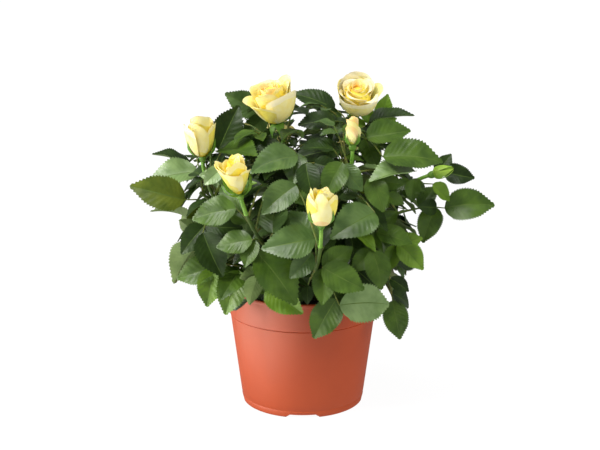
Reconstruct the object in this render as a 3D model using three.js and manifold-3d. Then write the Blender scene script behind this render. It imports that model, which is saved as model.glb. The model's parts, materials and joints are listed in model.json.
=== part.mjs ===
// Potted miniature rose bush with yellow blooms, in a terracotta-coloured plastic nursery pot.
// Millimetres, +Z up. The plant's show side faces -Y, and every place below is counted from the pot's axis
// at ground level until the whole group is moved to the centre of its own base at the end of the file.

import * as THREE from "three";
import { mergeVertices } from "three/addons/utils/BufferGeometryUtils.js";
import Module from "manifold-3d";

const wasm = await Module();
wasm.setup();

// Pot
const RIM_RADIUS = 60;
const POT_HEIGHT = 97;
const STEP_HEIGHT = 75.2;
const STEP_RADIUS = 58.6;
const FOOT_RADIUS = 48.9;
const COLLAR_PROUD = 0.7;
const WALL = 1.4;
const LIP_WIDTH = 2.4;
const LIP_HEIGHT = 2.6;
const FOOT_CORNER = 1.5;
const FOOT_RING_WIDTH = 2.2;
const FLOOR_RISE = 3;
const FLOOR_THICKNESS = 1.6;
const NOTCH_WIDTH = 26;
const NOTCH_HEIGHT = 2.8;
const NOTCH_COUNT = 4;
const DRAIN_COUNT = 8;
const DRAIN_RADIUS = 4;
const DRAIN_CIRCLE = 34;
const DRAIN_SIDES = 8;
const POT_SIDES = 36;

// Soil
const SOIL_TOP = 84;
const SOIL_CLEAR = 0.5;
const SOIL_SIDES = 20;

// Woody stems, which stand on the soil in a ring
const STEM_COUNT = 5;
const STEM_FIRST_ANGLE = 198;
const STEM_FOOT_CIRCLE = 13;
const STEM_TOP_CIRCLE = 21;
const STEM_TOP = 120;
const STEM_RADIUS = [3.1, 2.1];
const STEM_FLARE = 1.6;
const STEM_SIDES = 7;
const STEM_RINGS = 6;

// Boughs, and the shoots that carry on from them
const SEAT_GAP = 0.3;
const BOUGH_SHARE = 0.36;
const BOUGH_SOCKET = 1.5;
const BOUGH_FIRST_RING = 0.14;
const BOUGH_SIDES = 5;
const SHOOT_OUTSET = 9;
const SHOOT_EASE = 0.4;
const SHOOT_RINGS = 8;
const TWIG_SIDES = 3;
const BOUGH_RADIUS = [2.1, 1.7];
const SHOOT_RADIUS = [1.6, 1.3];
const RACHIS_RADIUS = [0.6, 0.5];

// Leaves: a rachis with one leaflet at its end and pairs along it
const LEAF_WIDTH = 0.62;
const LEAF_THICKNESS = 1;
const LEAF_ARCH = 0.05;
const LEAF_FOLD = 0.22;
const WIDEST = 0.42;
const THICKEST = 0.3;
const ROOT = 0.97;
const PAIR_PLACES = [0.76, 0.34];
const PAIR_SIZES = [0.78, 0.58];
const PAIR_DROOPS = [0.02, 0.42];
const PAIR_STAGGER = 0.012;
const PAIR_ANGLE = 64;
const PAIR_TWIST = 0.25;
const FINEST_EDGE = 0.02;
const CORNER_GAP = 0.002;
const ROLL_STEP = 7;
const ROLL_TRIES = 40;
const RACHIS_BEND = 0.62;
const RACHIS_CREST = 0.16;
const SHORTEST_RACHIS = 10;
const USUAL_RACHIS = 27;
const LONGEST_RACHIS = 60;
const END_LEAFLET = [31, 42];
const NODE_CHOICES = 25;
const FIRST_NODE = 0.03;
const LAST_NODE = 0.97;
const LAST_NODE_UNDER_BLOOM = 0.86;

// Room kept round limbs, leaves, blooms and pot, and how far past its neighbours' shoots a mass may reach
const CLEAR = 0.8;
const BLOOM_CLEAR = 1.2;
const POT_CLEAR = 1;
const OVERREACH = 16;

// The crown's envelope: a rounded drum round the pot's axis
const CROWN_CENTRE = [-4, 13, 148];
const CROWN_REACH = [98, 90, 101];
const CROWN_ROUNDNESS = 2.6;
const CROWN_LOWEST = 92;
const LOWEST_TIP = 100;
const CROWN_HEART = [4, 0, 115];

// Places for leaves, spread evenly over shells inside the envelope: the share of its reach, and how many
const LEAF_SHELLS = [[0.86, 130], [0.64, 80], [0.42, 30]];
const SHELL_TURN = 137.508;
const LEAF_TURNS = [0, 40, -40, 80, -80];
const NEAR_SHOOTS = 3;

// Each shoot leaves stem number `stem` at the share `fork` of its height and ends at `end`, heading along
// `aim`. A bloom of the given width and height stands on its end where it has one.
const SHOOTS = [
  { name: "left", stem: 0, fork: 0.62, end: [-80, -20, 176], aim: [-0.8, -0.1, 0.6] },
  {
    name: "left_bud", stem: 0, fork: 0.96, end: [-76, -38, 205], aim: [-0.03, -0.15, 1],
    bloom: "bud", size: [25, 33],
  },
  { name: "left_low", stem: 0, fork: 0.42, end: [-62, -45, 127], aim: [-0.8, -0.5, 0.2] },
  {
    name: "middle_bud", stem: 1, fork: 0.82, end: [-45, -88, 187], aim: [-0.2, -0.3, 0.95],
    bloom: "bud", size: [24, 31],
  },
  { name: "front_left", stem: 1, fork: 0.52, end: [-30, -78, 141], aim: [-0.4, -0.6, 0.6] },
  {
    name: "front_bud", stem: 1, fork: 0.66, end: [13, -102, 168], aim: [0, -0.1, 1],
    bloom: "bud", size: [23, 27],
  },
  { name: "front_low", stem: 1, fork: 0.38, end: [20, -74, 121], aim: [0.2, -0.9, 0.1] },
  {
    name: "small_bud", stem: 1, fork: 0.96, end: [37, -48, 215], aim: [0, 0, 1],
    bloom: "bud", size: [13, 20],
  },
  { name: "right_low", stem: 2, fork: 0.42, end: [68, -35, 122], aim: [0.8, -0.4, 0.1] },
  { name: "right", stem: 2, fork: 0.6, end: [79, -22, 162], aim: [0.9, -0.1, 0.4] },
  {
    name: "right_bud", stem: 2, fork: 0.78, end: [98, -18, 189], aim: [0.92, -0.1, 0.3],
    bloom: "bud", size: [9, 16],
  },
  {
    name: "right_bloom", stem: 2, fork: 0.96, end: [43, 2, 235], aim: [0.04, -0.62, 0.78],
    bloom: "open", size: [32, 27],
  },
  { name: "back_right", stem: 3, fork: 0.62, end: [82, 50, 172], aim: [0.7, 0.3, 0.6] },
  { name: "back_right_low", stem: 3, fork: 0.42, end: [58, 78, 120], aim: [0.5, 0.8, 0.1] },
  {
    name: "back_right_bud", stem: 3, fork: 0.94, end: [38, 78, 182], aim: [0.1, 0.3, 1],
    bloom: "bud", size: [23, 29],
  },
  {
    name: "top_bloom", stem: 4, fork: 0.97, end: [-18, -18, 228], aim: [-0.24, -0.22, 0.95],
    bloom: "open", size: [35, 35],
  },
  {
    name: "back_bloom", stem: 4, fork: 0.8, end: [-24, 66, 188], aim: [-0.1, 0.55, 0.83],
    bloom: "open", size: [36, 30],
  },
  { name: "back_left", stem: 4, fork: 0.62, end: [-80, 48, 176], aim: [-0.7, 0.3, 0.6] },
  { name: "back_left_low", stem: 4, fork: 0.42, end: [-48, 80, 122], aim: [-0.4, 0.8, 0.1] },
];

// Leaves that the show side is known by: the shoot, the end of the rachis, then each leaflet's tip, the end
// leaflet first, with how far that leaflet's face turns from straight up (0) to the front (1) or back (-1).
const SHOW_LEAVES = [
  ["left", [-91, -28, 172], [-132, -35, 185, 0.6]],
  ["left", [-82, -8, 190], [-121, -14, 184, 0.45]],
  ["left_bud", [-90, 16, 191], [-120, 11, 201, 0.1]],
  ["left", [-85, -12, 152], [-119, -16, 163, -0.3]],
  ["left_low", [-79, -38, 142], [-94, -45, 161, -0.8]],
  ["left_low", [-81, -30, 138], [-102, -24, 105, -0.6]],
  ["left_low", [-67, -55, 126], [-73, -62, 96, 0.8], [-97, -50, 115, 0.6]],
  ["left_low", [-48, -58, 124], [-59, -66, 91, 0.7], [-61, -80, 109, 0.5]],
  ["left", [-75, -60, 154], [-60, -70, 122, 0.6]],
  ["front_left", [-33, -79, 126], [-40, -84, 105, -0.6]],
  ["middle_bud", [-49, -78, 177], [-82, -72, 167, 0.6]],
  ["left_bud", [-60, -56, 203], [-74, -57, 190, 0.8]],
  ["middle_bud", [-37, -85, 155], [-64, -80, 148, 0.6]],
  ["front_left", [-34, -82, 145], [-4, -90, 107, 0.45]],
  ["front_left", [-27, -72, 116], [0, -84, 98, 0.85]],
  ["front_bud", [9, -91, 158], [-30, -99, 153, 0.6]],
  ["small_bud", [53, -70, 172], [20, -95, 159, 0.6]],
  ["front_low", [14, -88, 135], [45, -92, 119, 0.7]],
  ["front_bud", [7, -86, 145], [-10, -90, 127, 0.75]],
  ["front_low", [27, -82, 104], [67, -62, 98, 0.8], [8, -77, 76, 0.9]],
  ["right_low", [70, -35, 93], [76, -42, 63, 0.85], [86, -20, 84, 0.5]],
  ["right_low", [73, -45, 142], [92, -50, 122, 0.7]],
  ["right", [56, -50, 152], [83, -55, 145, 0.5]],
  ["right_low", [52, -62, 141], [59, -70, 112, 0.6]],
  ["right", [110, -22, 164], [149, -24, 167, 0.7], [88, -34, 168, 0.8], [93, -30, 138, 0.7]],
  ["right_bud", [110, -6, 190], [135, -8, 185, 0.7]],
  ["right_bud", [100, -26, 184], [114, -24, 170, 0.5]],
  ["right_bud", [86, -25, 188], [84, -30, 170, 0.8]],
  ["small_bud", [85, -40, 197], [49, -60, 195, 0.2]],
  ["right_bloom", [60, -45, 209], [106, -40, 204, 0.45]],
  ["right_bloom", [48, -25, 220], [83, -20, 225, 0.5]],
  ["right_bloom", [52, 8, 226], [88, 8, 233, 0.15]],
  ["right_bloom", [62, 28, 224], [68, 27, 246, 0.8]],
  ["small_bud", [29, -62, 208], [16, -75, 184, 0.8], [44, -66, 187, 0.7]],
  ["right", [50, -55, 195], [60, -62, 170, 0.7]],
  ["top_bloom", [-65, -18, 209], [-49, -12, 243, 0.9]],
  ["top_bloom", [-33, 30, 231], [-62, 25, 247, 0.8]],
  ["top_bloom", [-46, -32, 213], [-7, -46, 205, 0.45]],
  ["top_bloom", [-4, -52, 211], [-39, -64, 202, 0.5]],
  ["front_bud", [-5, -76, 194], [-30, -88, 175, 0.65]],
  ["right_bloom", [26, 30, 234], [-9, 35, 247, 0.35]],
  ["right_bloom", [25, -14, 231], [-4, -20, 229, 0.5]],
  ["small_bud", [28, -38, 213], [-7, -44, 207, 0.45]],
  ["small_bud", [2, -64, 208], [8, -74, 183, 0.7]],
];

// Colours of the materials
const COLOURS = {
  pot: [0xbf6240, 0.45],
  soil: [0x1d1611, 0.95],
  wood: [0x5f5a38, 0.8],
  leaf: [0x34501f, 0.5],
  petal: [0xf2dd86, 0.6],
  green_bud: [0x7fa33a, 0.5],
};

const UP = new THREE.Vector3(0, 0, 1);
const FRONT = new THREE.Vector3(0, -1, 0);
const radians = THREE.MathUtils.degToRad;
const mix = THREE.MathUtils.lerp;
const vector = (list) => new THREE.Vector3(list[0], list[1], list[2]);
const along = (point, direction, distance) => point.clone().addScaledVector(direction, distance);
const toward = (from, to) => to.clone().sub(from).normalize();
const square = (direction, axis) => direction.clone().addScaledVector(axis, -direction.dot(axis)).normalize();

// A repeatable stream of numbers from 0 to 1
function makeRandom(seed) {
  let state = seed;
  return () => {
    state = (state * 16807) % 2147483647;
    return state / 2147483647;
  };
}

// A closed three.js geometry as a solid that can be joined and cut
function toSolid(geometry) {
  const bare = geometry.clone();
  bare.deleteAttribute("normal");
  bare.deleteAttribute("uv");
  const merged = mergeVertices(bare, 1e-4);
  return new wasm.Manifold(
    new wasm.Mesh({
      numProp: 3,
      vertProperties: new Float32Array(merged.attributes.position.array),
      triVerts: new Uint32Array(merged.index.array),
    }),
  );
}

function toGeometry(solid) {
  const mesh = solid.getMesh();
  const geometry = new THREE.BufferGeometry();
  geometry.setAttribute("position", new THREE.Float32BufferAttribute(mesh.vertProperties, 3));
  geometry.setIndex(new THREE.Uint32BufferAttribute(mesh.triVerts, 1));
  return geometry;
}

// A closed skin over rings of points that run round one after another, where a ring may be a single point
function skinned(rings) {
  const points = rings.flat();
  const faces = [];
  let low = 0;
  for (let ring = 0; ring + 1 < rings.length; ring += 1) {
    const lowCount = rings[ring].length;
    const highCount = rings[ring + 1].length;
    const high = low + lowCount;
    for (let side = 0; side < Math.max(lowCount, highCount); side += 1) {
      if (lowCount > 1) {
        faces.push(low + side, low + ((side + 1) % lowCount), high + ((side + 1) % highCount));
      }
      if (highCount > 1) {
        faces.push(low + (side % lowCount), high + ((side + 1) % highCount), high + side);
      }
    }
    low = high;
  }
  const first = rings[0].length;
  for (let side = 1; side + 1 < first; side += 1) {
    faces.push(0, side + 1, side);
  }
  for (let side = 1; side + 1 < points.length - low; side += 1) {
    faces.push(low, low + side, low + side + 1);
  }
  const geometry = new THREE.BufferGeometry();
  geometry.setAttribute("position", new THREE.Float32BufferAttribute(points.flatMap((p) => p.toArray()), 3));
  geometry.setIndex(faces);
  return geometry;
}

// A round limb through points, with the radius at each, its end cuts square to it and its first corner rolled
function limb(points, radii, sides, roll = 0) {
  const headings = points.map((point, i) => {
    return toward(points[Math.max(i - 1, 0)], points[Math.min(i + 1, points.length - 1)]);
  });
  let across = square(Math.abs(headings[0].z) > 0.9 ? new THREE.Vector3(1, 0, 0) : UP, headings[0]);
  const rings = points.map((point, i) => {
    across = square(across, headings[i]);
    const third = headings[i].clone().cross(across);
    return Array.from({ length: sides }, (_, side) => {
      const angle = (side / sides) * Math.PI * 2 + roll;
      return along(along(point, across, radii[i] * Math.cos(angle)), third, radii[i] * Math.sin(angle));
    });
  });
  return skinned(rings);
}

const steps = (count) => Array.from({ length: count }, (_, i) => i / (count - 1));
const taper = (radii, count) => steps(count).map((share) => mix(radii[0], radii[1], share));

function stretch(curve, from, to, count) {
  return steps(count).map((share) => curve.getPoint(mix(from, to, share)));
}

// Pot and soil
const wallRadius = (z) => mix(FOOT_RADIUS, STEP_RADIUS, z / STEP_HEIGHT);

function turnedSolid(profile, sides) {
  const turned = new THREE.LatheGeometry(profile.map(([radius, z]) => new THREE.Vector2(radius, z)), sides);
  turned.rotateX(Math.PI / 2);
  return toSolid(turned);
}

function potSolid() {
  const floorTop = FLOOR_RISE + FLOOR_THICKNESS;
  const ringOuter = FOOT_RADIUS - FOOT_CORNER * 0.7;
  const ringInner = ringOuter - FOOT_RING_WIDTH;
  const collar = STEP_RADIUS + COLLAR_PROUD;
  const profile = [
    [0, FLOOR_RISE],
    [ringInner - 1, FLOOR_RISE],
    [ringInner, 0],
    [ringOuter, 0],
    [wallRadius(FOOT_CORNER), FOOT_CORNER],
    [wallRadius(STEP_HEIGHT - COLLAR_PROUD), STEP_HEIGHT - COLLAR_PROUD],
    [collar, STEP_HEIGHT],
    [RIM_RADIUS - 0.4, POT_HEIGHT - LIP_HEIGHT],
    [RIM_RADIUS, POT_HEIGHT - LIP_HEIGHT + 0.6],
    [RIM_RADIUS, POT_HEIGHT - 0.5],
    [RIM_RADIUS - 0.5, POT_HEIGHT],
    [RIM_RADIUS - LIP_WIDTH + 0.5, POT_HEIGHT],
    [RIM_RADIUS - LIP_WIDTH, POT_HEIGHT - LIP_HEIGHT],
    [collar - WALL, STEP_HEIGHT],
    [wallRadius(STEP_HEIGHT - 3) - WALL, STEP_HEIGHT - 3],
    [wallRadius(floorTop) - WALL, floorTop],
    [0, floorTop],
  ];
  let pot = turnedSolid(profile, POT_SIDES);
  const notch = new THREE.Shape([
    new THREE.Vector2(-NOTCH_WIDTH / 2, -1),
    new THREE.Vector2(NOTCH_WIDTH / 2, -1),
    new THREE.Vector2(NOTCH_WIDTH / 2 - NOTCH_HEIGHT * 0.7, NOTCH_HEIGHT),
    new THREE.Vector2(-NOTCH_WIDTH / 2 + NOTCH_HEIGHT * 0.7, NOTCH_HEIGHT),
  ]);
  for (let i = 0; i < NOTCH_COUNT; i += 1) {
    const cut = new THREE.ExtrudeGeometry(notch, { depth: FOOT_RADIUS, bevelEnabled: false });
    cut.rotateX(Math.PI / 2);
    cut.translate(0, -FOOT_RADIUS * 0.75, 0);
    cut.rotateZ((i / NOTCH_COUNT) * Math.PI * 2);
    pot = pot.subtract(toSolid(cut));
  }
  for (let i = 0; i < DRAIN_COUNT; i += 1) {
    const angle = ((i + 0.5) / DRAIN_COUNT) * Math.PI * 2;
    const drain = new THREE.CylinderGeometry(DRAIN_RADIUS, DRAIN_RADIUS, 4 * FLOOR_THICKNESS, DRAIN_SIDES);
    drain.rotateX(Math.PI / 2);
    drain.translate(DRAIN_CIRCLE * Math.cos(angle), DRAIN_CIRCLE * Math.sin(angle), floorTop);
    pot = pot.subtract(toSolid(drain));
  }
  return pot;
}

function soilSolid() {
  const bottom = FLOOR_RISE + FLOOR_THICKNESS + SEAT_GAP;
  const inside = (z) => wallRadius(z) - WALL - SOIL_CLEAR;
  const profile = [
    [0, bottom],
    [inside(bottom), bottom],
    [inside(STEP_HEIGHT - 3), STEP_HEIGHT - 3],
    [STEP_RADIUS + COLLAR_PROUD - WALL - SOIL_CLEAR, STEP_HEIGHT + 1],
    [STEP_RADIUS + COLLAR_PROUD - WALL - SOIL_CLEAR, SOIL_TOP - 3],
    [STEP_RADIUS - 8, SOIL_TOP],
    [0, SOIL_TOP],
  ];
  return turnedSolid(profile, SOIL_SIDES);
}

// Stems
function makeStem(number) {
  const angle = radians(STEM_FIRST_ANGLE + (360 / STEM_COUNT) * number);
  const ring = (radius, z) => new THREE.Vector3(radius * Math.cos(angle), radius * Math.sin(angle), z);
  const foot = ring(STEM_FOOT_CIRCLE, SOIL_TOP + SEAT_GAP);
  const top = ring(STEM_TOP_CIRCLE, STEM_TOP);
  const curve = new THREE.QuadraticBezierCurve3(foot, along(foot, UP, (STEM_TOP - SOIL_TOP) / 2), top);
  const points = stretch(curve, 0, 1, STEM_RINGS);
  const flare = (i) => STEM_FLARE * Math.max(0, 1 - i / 1.5);
  const radii = taper(STEM_RADIUS, STEM_RINGS).map((radius, i) => radius + flare(i));
  return { curve, points, radii };
}

const stems = Array.from({ length: STEM_COUNT }, (_, number) => makeStem(number));

// The route of a bough and of the shoot beyond it, from its seat on the side of its stem
function makeShoot(row) {
  const stem = stems[row.stem];
  const foot = stem.curve.getPoint(row.fork);
  const axis = stem.curve.getTangent(row.fork);
  const end = vector(row.end);
  const aim = vector(row.aim).normalize();
  const outward = square(toward(foot, end), axis);
  const seat = along(foot, outward, mix(STEM_RADIUS[0], STEM_RADIUS[1], row.fork) + SEAT_GAP);
  const length = seat.distanceTo(end);
  const leave = along(seat, outward, SHOOT_OUTSET);
  const arrive = along(end, aim, -SHOOT_EASE * length);
  const curve = new THREE.CubicBezierCurve3(seat, leave, arrive, end);
  const start = BOUGH_SHARE + SEAT_GAP / length;
  return {
    ...row,
    length,
    aim,
    curve,
    start,
    bough: [seat, along(seat, outward, BOUGH_SOCKET), ...stretch(curve, BOUGH_FIRST_RING, BOUGH_SHARE, 3)],
    points: stretch(curve, start, 1, SHOOT_RINGS),
  };
}

const shoots = SHOOTS.map(makeShoot);

// Blooms: closed cups of petals on a round hip, each ring a share of the height and of the half width
const PROFILES = {
  bud: [[0, 0.3], [0.1, 0.66], [0.32, 0.96], [0.62, 0.97], [0.9, 0.7], [1, 0.5]],
  open: [
    [0, 0.2], [0.1, 0.58], [0.3, 0.86], [0.62, 1], [0.92, 0.98],
    [0.98, 0.8], [0.86, 0.64], [0.94, 0.46], [0.84, 0.26],
  ],
};
const PETAL_LOBES = { bud: 3, open: 5 };
const LOBE_DEPTH = { bud: 0.06, open: 0.08 };
const LOBE_TURN = 0.4;
const HEART_HEIGHT = { bud: 0.9, open: 0.84 };
const BLOOM_SIDES = { bud: 8, open: 13 };
const HIP_HEIGHT = 3.6;
const HIP_RADIUS = 2.8;
const SEPAL_COUNT = 5;
const SEPAL_THICKNESS = 0.9;
const WIDEST_CALYX = 24;
const CUP_MARGIN = 1.1;

function bloomFrame(shoot) {
  const axis = shoot.aim;
  const across = square(Math.abs(axis.z) > 0.9 ? new THREE.Vector3(1, 0, 0) : UP, axis);
  const third = axis.clone().cross(across);
  return { axis, across, third, foot: along(vector(shoot.end), axis, HIP_HEIGHT) };
}

function bloomPoint(frame, height, radius, angle) {
  const point = along(frame.foot, frame.axis, height);
  return along(along(point, frame.across, radius * Math.cos(angle)), frame.third, radius * Math.sin(angle));
}

function petalSolid(shoot) {
  const frame = bloomFrame(shoot);
  const [width, height] = shoot.size;
  const sides = BLOOM_SIDES[shoot.bloom];
  const profile = PROFILES[shoot.bloom];
  const rings = profile.map(([up, out], ring) => {
    return Array.from({ length: sides }, (_, side) => {
      const angle = (side / sides) * Math.PI * 2;
      const wave = Math.cos(PETAL_LOBES[shoot.bloom] * angle + ring * LOBE_TURN);
      const lobe = ring === 0 ? 0 : LOBE_DEPTH[shoot.bloom] * wave;
      const rise = SEAT_GAP + up * height * (1 + lobe * up * 0.5);
      return bloomPoint(frame, rise, (out * width * (1 + lobe)) / 2, angle);
    });
  });
  const start = bloomPoint(frame, SEAT_GAP, 0, 0);
  const end = bloomPoint(frame, height * HEART_HEIGHT[shoot.bloom], 0, 0);
  return toSolid(skinned([[start], ...rings, [end]]));
}

// The hip under a bloom, which spreads into a star of five sepals just clear of the petals
function calyxSolid(shoot) {
  const frame = bloomFrame(shoot);
  const reach = HIP_RADIUS + Math.min(shoot.size[0], WIDEST_CALYX) / 2;
  const ring = (height, radiusAt) => Array.from({ length: 2 * SEPAL_COUNT }, (_, side) => {
    return bloomPoint(frame, height, radiusAt(side), (side / (2 * SEPAL_COUNT)) * Math.PI * 2);
  });
  const hip = ring(-HIP_HEIGHT * 0.6, () => HIP_RADIUS * 0.9);
  const star = ring(-SEPAL_THICKNESS, (side) => (side % 2 === 0 ? reach : HIP_RADIUS * 1.1));
  const foot = bloomPoint(frame, -HIP_HEIGHT - 1, 0, 0);
  return toSolid(skinned([[foot], hip, star, [bloomPoint(frame, 0, 0, 0)]]));
}

// Leaflets: the blade's surface over its own length, across and facing directions
function makeLeaflet(base, tip, facing) {
  const length = base.distanceTo(tip);
  const lengthwise = toward(base, tip);
  const normal = square(facing, lengthwise);
  return {
    base,
    tip,
    length,
    lengthwise,
    normal,
    across: normal.clone().cross(lengthwise),
    middle: along(base, lengthwise, length / 2),
  };
}

// The outline is widest at two fifths of the length and draws out to a point
const halfWidth = (share) => 1.277 * LEAF_WIDTH * Math.pow(share, 0.55) * Math.pow(1 - share, 0.85);
const bladeRise = (share, side) => 4 * LEAF_ARCH * share * (1 - share) + LEAF_FOLD * Math.abs(side);

function bladePoint(leaflet, share, edge) {
  const side = edge * halfWidth(share);
  const point = along(leaflet.base, leaflet.lengthwise, share * leaflet.length);
  return along(
    along(point, leaflet.across, side * leaflet.length),
    leaflet.normal,
    bladeRise(share, side) * leaflet.length,
  );
}

const BLADE_STATIONS = [0.25, 0.5, 0.75];
const NEAR_ENOUGH = 0.62;

// The lines that stand for a blade where it is tested against its neighbours
function bladeWires(leaflet) {
  const line = (edge) => [
    leaflet.base,
    ...BLADE_STATIONS.map((share) => bladePoint(leaflet, share, edge)),
    leaflet.tip,
  ];
  const ribs = BLADE_STATIONS.map((share) => [-1, 0, 1].map((edge) => bladePoint(leaflet, share, edge)));
  return [line(-1), line(0), line(1), ...ribs];
}

function bladeSolid(leaflet, root) {
  const outline = [root, bladePoint(leaflet, WIDEST, 1), leaflet.tip, bladePoint(leaflet, WIDEST, -1)];
  const centre = bladePoint(leaflet, THICKEST, 0);
  const below = along(centre, leaflet.normal, -LEAF_THICKNESS / 2);
  const above = along(centre, leaflet.normal, LEAF_THICKNESS / 2);
  return toSolid(skinned([[above], outline, [below]]));
}

// How high a point stands over a blade's surface, and whether it is beside the blade
function heightOver(leaflet, point, margin) {
  const away = point.clone().sub(leaflet.base);
  const share = away.dot(leaflet.lengthwise) / leaflet.length;
  const side = away.dot(leaflet.across) / leaflet.length;
  const inside = Math.min(Math.max(share, 0), 1);
  const room = margin / leaflet.length;
  const beside = Math.abs(share - inside) > room || Math.abs(side) > halfWidth(inside) + room;
  return { beside, height: away.dot(leaflet.normal) - bladeRise(inside, side) * leaflet.length };
}

function lineMeetsBlade(line, leaflet, margin) {
  for (let i = 0; i + 1 < line.length; i += 1) {
    const from = heightOver(leaflet, line[i], margin);
    const to = heightOver(leaflet, line[i + 1], margin);
    if ((!from.beside && Math.abs(from.height) < margin) || (!to.beside && Math.abs(to.height) < margin)) {
      return true;
    }
    if (from.height * to.height < 0) {
      const cross = line[i].clone().lerp(line[i + 1], from.height / (from.height - to.height));
      if (!heightOver(leaflet, cross, margin).beside) {
        return true;
      }
    }
  }
  return false;
}

function bladesMeet(one, other) {
  const apart = one.middle.distanceTo(other.middle) > (one.length + other.length) * NEAR_ENOUGH;
  const mates = one.base.distanceTo(other.base) < 1;
  if (apart || mates) {
    return false;
  }
  return one.wires.some((line) => lineMeetsBlade(line, other, CLEAR))
    || other.wires.some((line) => lineMeetsBlade(line, one, CLEAR));
}

function distanceToLine(point, line) {
  let least = Infinity;
  for (let i = 0; i + 1 < line.length; i += 1) {
    const step = line[i + 1].clone().sub(line[i]);
    const share = Math.min(Math.max(point.clone().sub(line[i]).dot(step) / step.lengthSq(), 0), 1);
    least = Math.min(least, point.distanceTo(along(line[i], step, share)));
  }
  return least;
}

// A line with points added so that none lies more than 2 mm from the next
function finely(line) {
  const points = [line[0]];
  for (let i = 0; i + 1 < line.length; i += 1) {
    const count = Math.ceil(line[i].distanceTo(line[i + 1]) / 2);
    for (let step = 1; step <= count; step += 1) {
      points.push(line[i].clone().lerp(line[i + 1], step / count));
    }
  }
  return points;
}

function inPot(point) {
  const radius = Math.hypot(point.x, point.y);
  const outside = (point.z < STEP_HEIGHT ? wallRadius(point.z) : RIM_RADIUS) + POT_CLEAR;
  const inCup = radius < STEP_RADIUS - WALL - POT_CLEAR && point.z > SOIL_TOP + POT_CLEAR;
  return point.z < POT_HEIGHT + POT_CLEAR && radius < outside && !inCup;
}

function inBloom(point, shoot) {
  if (!shoot.bloom) {
    return false;
  }
  const frame = bloomFrame(shoot);
  const away = point.clone().sub(frame.foot);
  const height = away.dot(frame.axis);
  const radius = away.addScaledVector(frame.axis, -height).length();
  const share = height / shoot.size[1];
  const cup = (shoot.size[0] / 2) * CUP_MARGIN * Math.min(1, 0.3 + 2.4 * share) + BLOOM_CLEAR;
  const inCup = share > 0 && share < CUP_MARGIN && radius < cup;
  const calyx = Math.min(shoot.size[0], WIDEST_CALYX) / 2 + HIP_RADIUS + BLOOM_CLEAR;
  const inCalyx = height > -HIP_HEIGHT - BLOOM_CLEAR && height < BLOOM_CLEAR && radius < calyx;
  return inCup || inCalyx;
}

// The envelope's formula, which gives 1 on its surface for a point counted from its centre
function crownSum(point) {
  const shares = CROWN_REACH.map((reach, i) => Math.abs(point.getComponent(i)) / reach);
  return shares.reduce((sum, share) => sum + Math.pow(share, CROWN_ROUNDNESS), 0);
}

const withinCrown = (point) => point.z > LOWEST_TIP && crownSum(point.clone().sub(vector(CROWN_CENTRE))) < 1;

function inOwnSpace(point, shoot) {
  const own = distanceToLine(point, shoot.points) - OVERREACH;
  return shoots.every((other) => other === shoot || distanceToLine(point, other.points) > own);
}

// Everything that stands so far: limbs as lines with a radius, and blades
const limbLines = [
  ...stems.map((stem) => ({ line: stem.points, radius: STEM_RADIUS[0] + 0.6 })),
  ...shoots.map((shoot) => ({ line: shoot.bough, radius: BOUGH_RADIUS[0] })),
  ...shoots.map((shoot) => ({ line: shoot.points, radius: SHOOT_RADIUS[0], shoot })),
];
const leaves = [];

function twigIsFree(line, shoot) {
  const points = finely(line);
  if (points.some((point) => inPot(point) || shoots.some((other) => inBloom(point, other)))) {
    return false;
  }
  const limbs = [...limbLines, ...leaves].filter((other) => other.shoot !== shoot);
  const meets = limbs.some((other) => {
    const room = other.radius + RACHIS_RADIUS[0] + CLEAR;
    return points.some((point) => distanceToLine(point, other.line) < room);
  });
  const room = 2 * CLEAR;
  return !meets && !leaves.some((leaf) => leaf.leaflets.some((other) => lineMeetsBlade(line, other, room)));
}

function bladeIsFree(leaflet, ownLine) {
  leaflet.wires = bladeWires(leaflet);
  const points = leaflet.wires.flatMap(finely);
  if (points.some((point) => inPot(point) || shoots.some((other) => inBloom(point, other)))) {
    return false;
  }
  const meets = [...limbLines, ...leaves].some((other) => {
    const room = other.radius + CLEAR;
    const near = distanceToLine(leaflet.middle, other.line) < leaflet.length * NEAR_ENOUGH + room;
    return near && other.line !== ownLine && (lineMeetsBlade(other.line, leaflet, room)
      || points.some((point) => distanceToLine(point, other.line) < room));
  });
  return !meets && !leaves.some((leaf) => leaf.leaflets.some((other) => bladesMeet(leaflet, other)));
}

function rachisLine(node, end) {
  const crest = along(node.clone().lerp(end, 0.5), UP, RACHIS_CREST * node.distanceTo(end));
  const curve = new THREE.QuadraticBezierCurve3(node, crest, end);
  return [node, curve.getPoint(RACHIS_BEND), end];
}

const onLine = (line, share) => {
  const place = share * (line.length - 1);
  const low = Math.min(Math.floor(place), line.length - 2);
  return line[low].clone().lerp(line[low + 1], place - low);
};

// The two leaflets of a pair leave the rachis a hair apart
const pairBase = (leaf, pair, hand) => onLine(leaf.line, PAIR_PLACES[pair] + hand * PAIR_STAGGER);

// Adds the pairs that a leaf carries by rule, each left out where it would meet something
function addPairs(leaf, keep) {
  const end = leaf.leaflets[0];
  PAIR_SIZES.forEach((size, pair) => {
    for (const hand of [-1, 1]) {
      if (leaf.taken.includes(`${pair} ${hand}`)) {
        continue;
      }
      const base = pairBase(leaf, pair, hand);
      const heading = end.lengthwise.clone().multiplyScalar(Math.cos(radians(PAIR_ANGLE)));
      heading.addScaledVector(end.across, hand * Math.sin(radians(PAIR_ANGLE)));
      heading.addScaledVector(UP, -PAIR_DROOPS[pair]).normalize();
      const tip = along(base, heading, end.length * size);
      const facing = along(end.normal, end.across, hand * PAIR_TWIST);
      const leaflet = makeLeaflet(base, tip, facing);
      const free = keep(leaflet) && bladeIsFree(leaflet, leaf.line);
      if (free && !leaf.leaflets.some((other) => bladesMeet(leaflet, other))) {
        leaf.leaflets.push(leaflet);
      }
    }
  });
}

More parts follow.
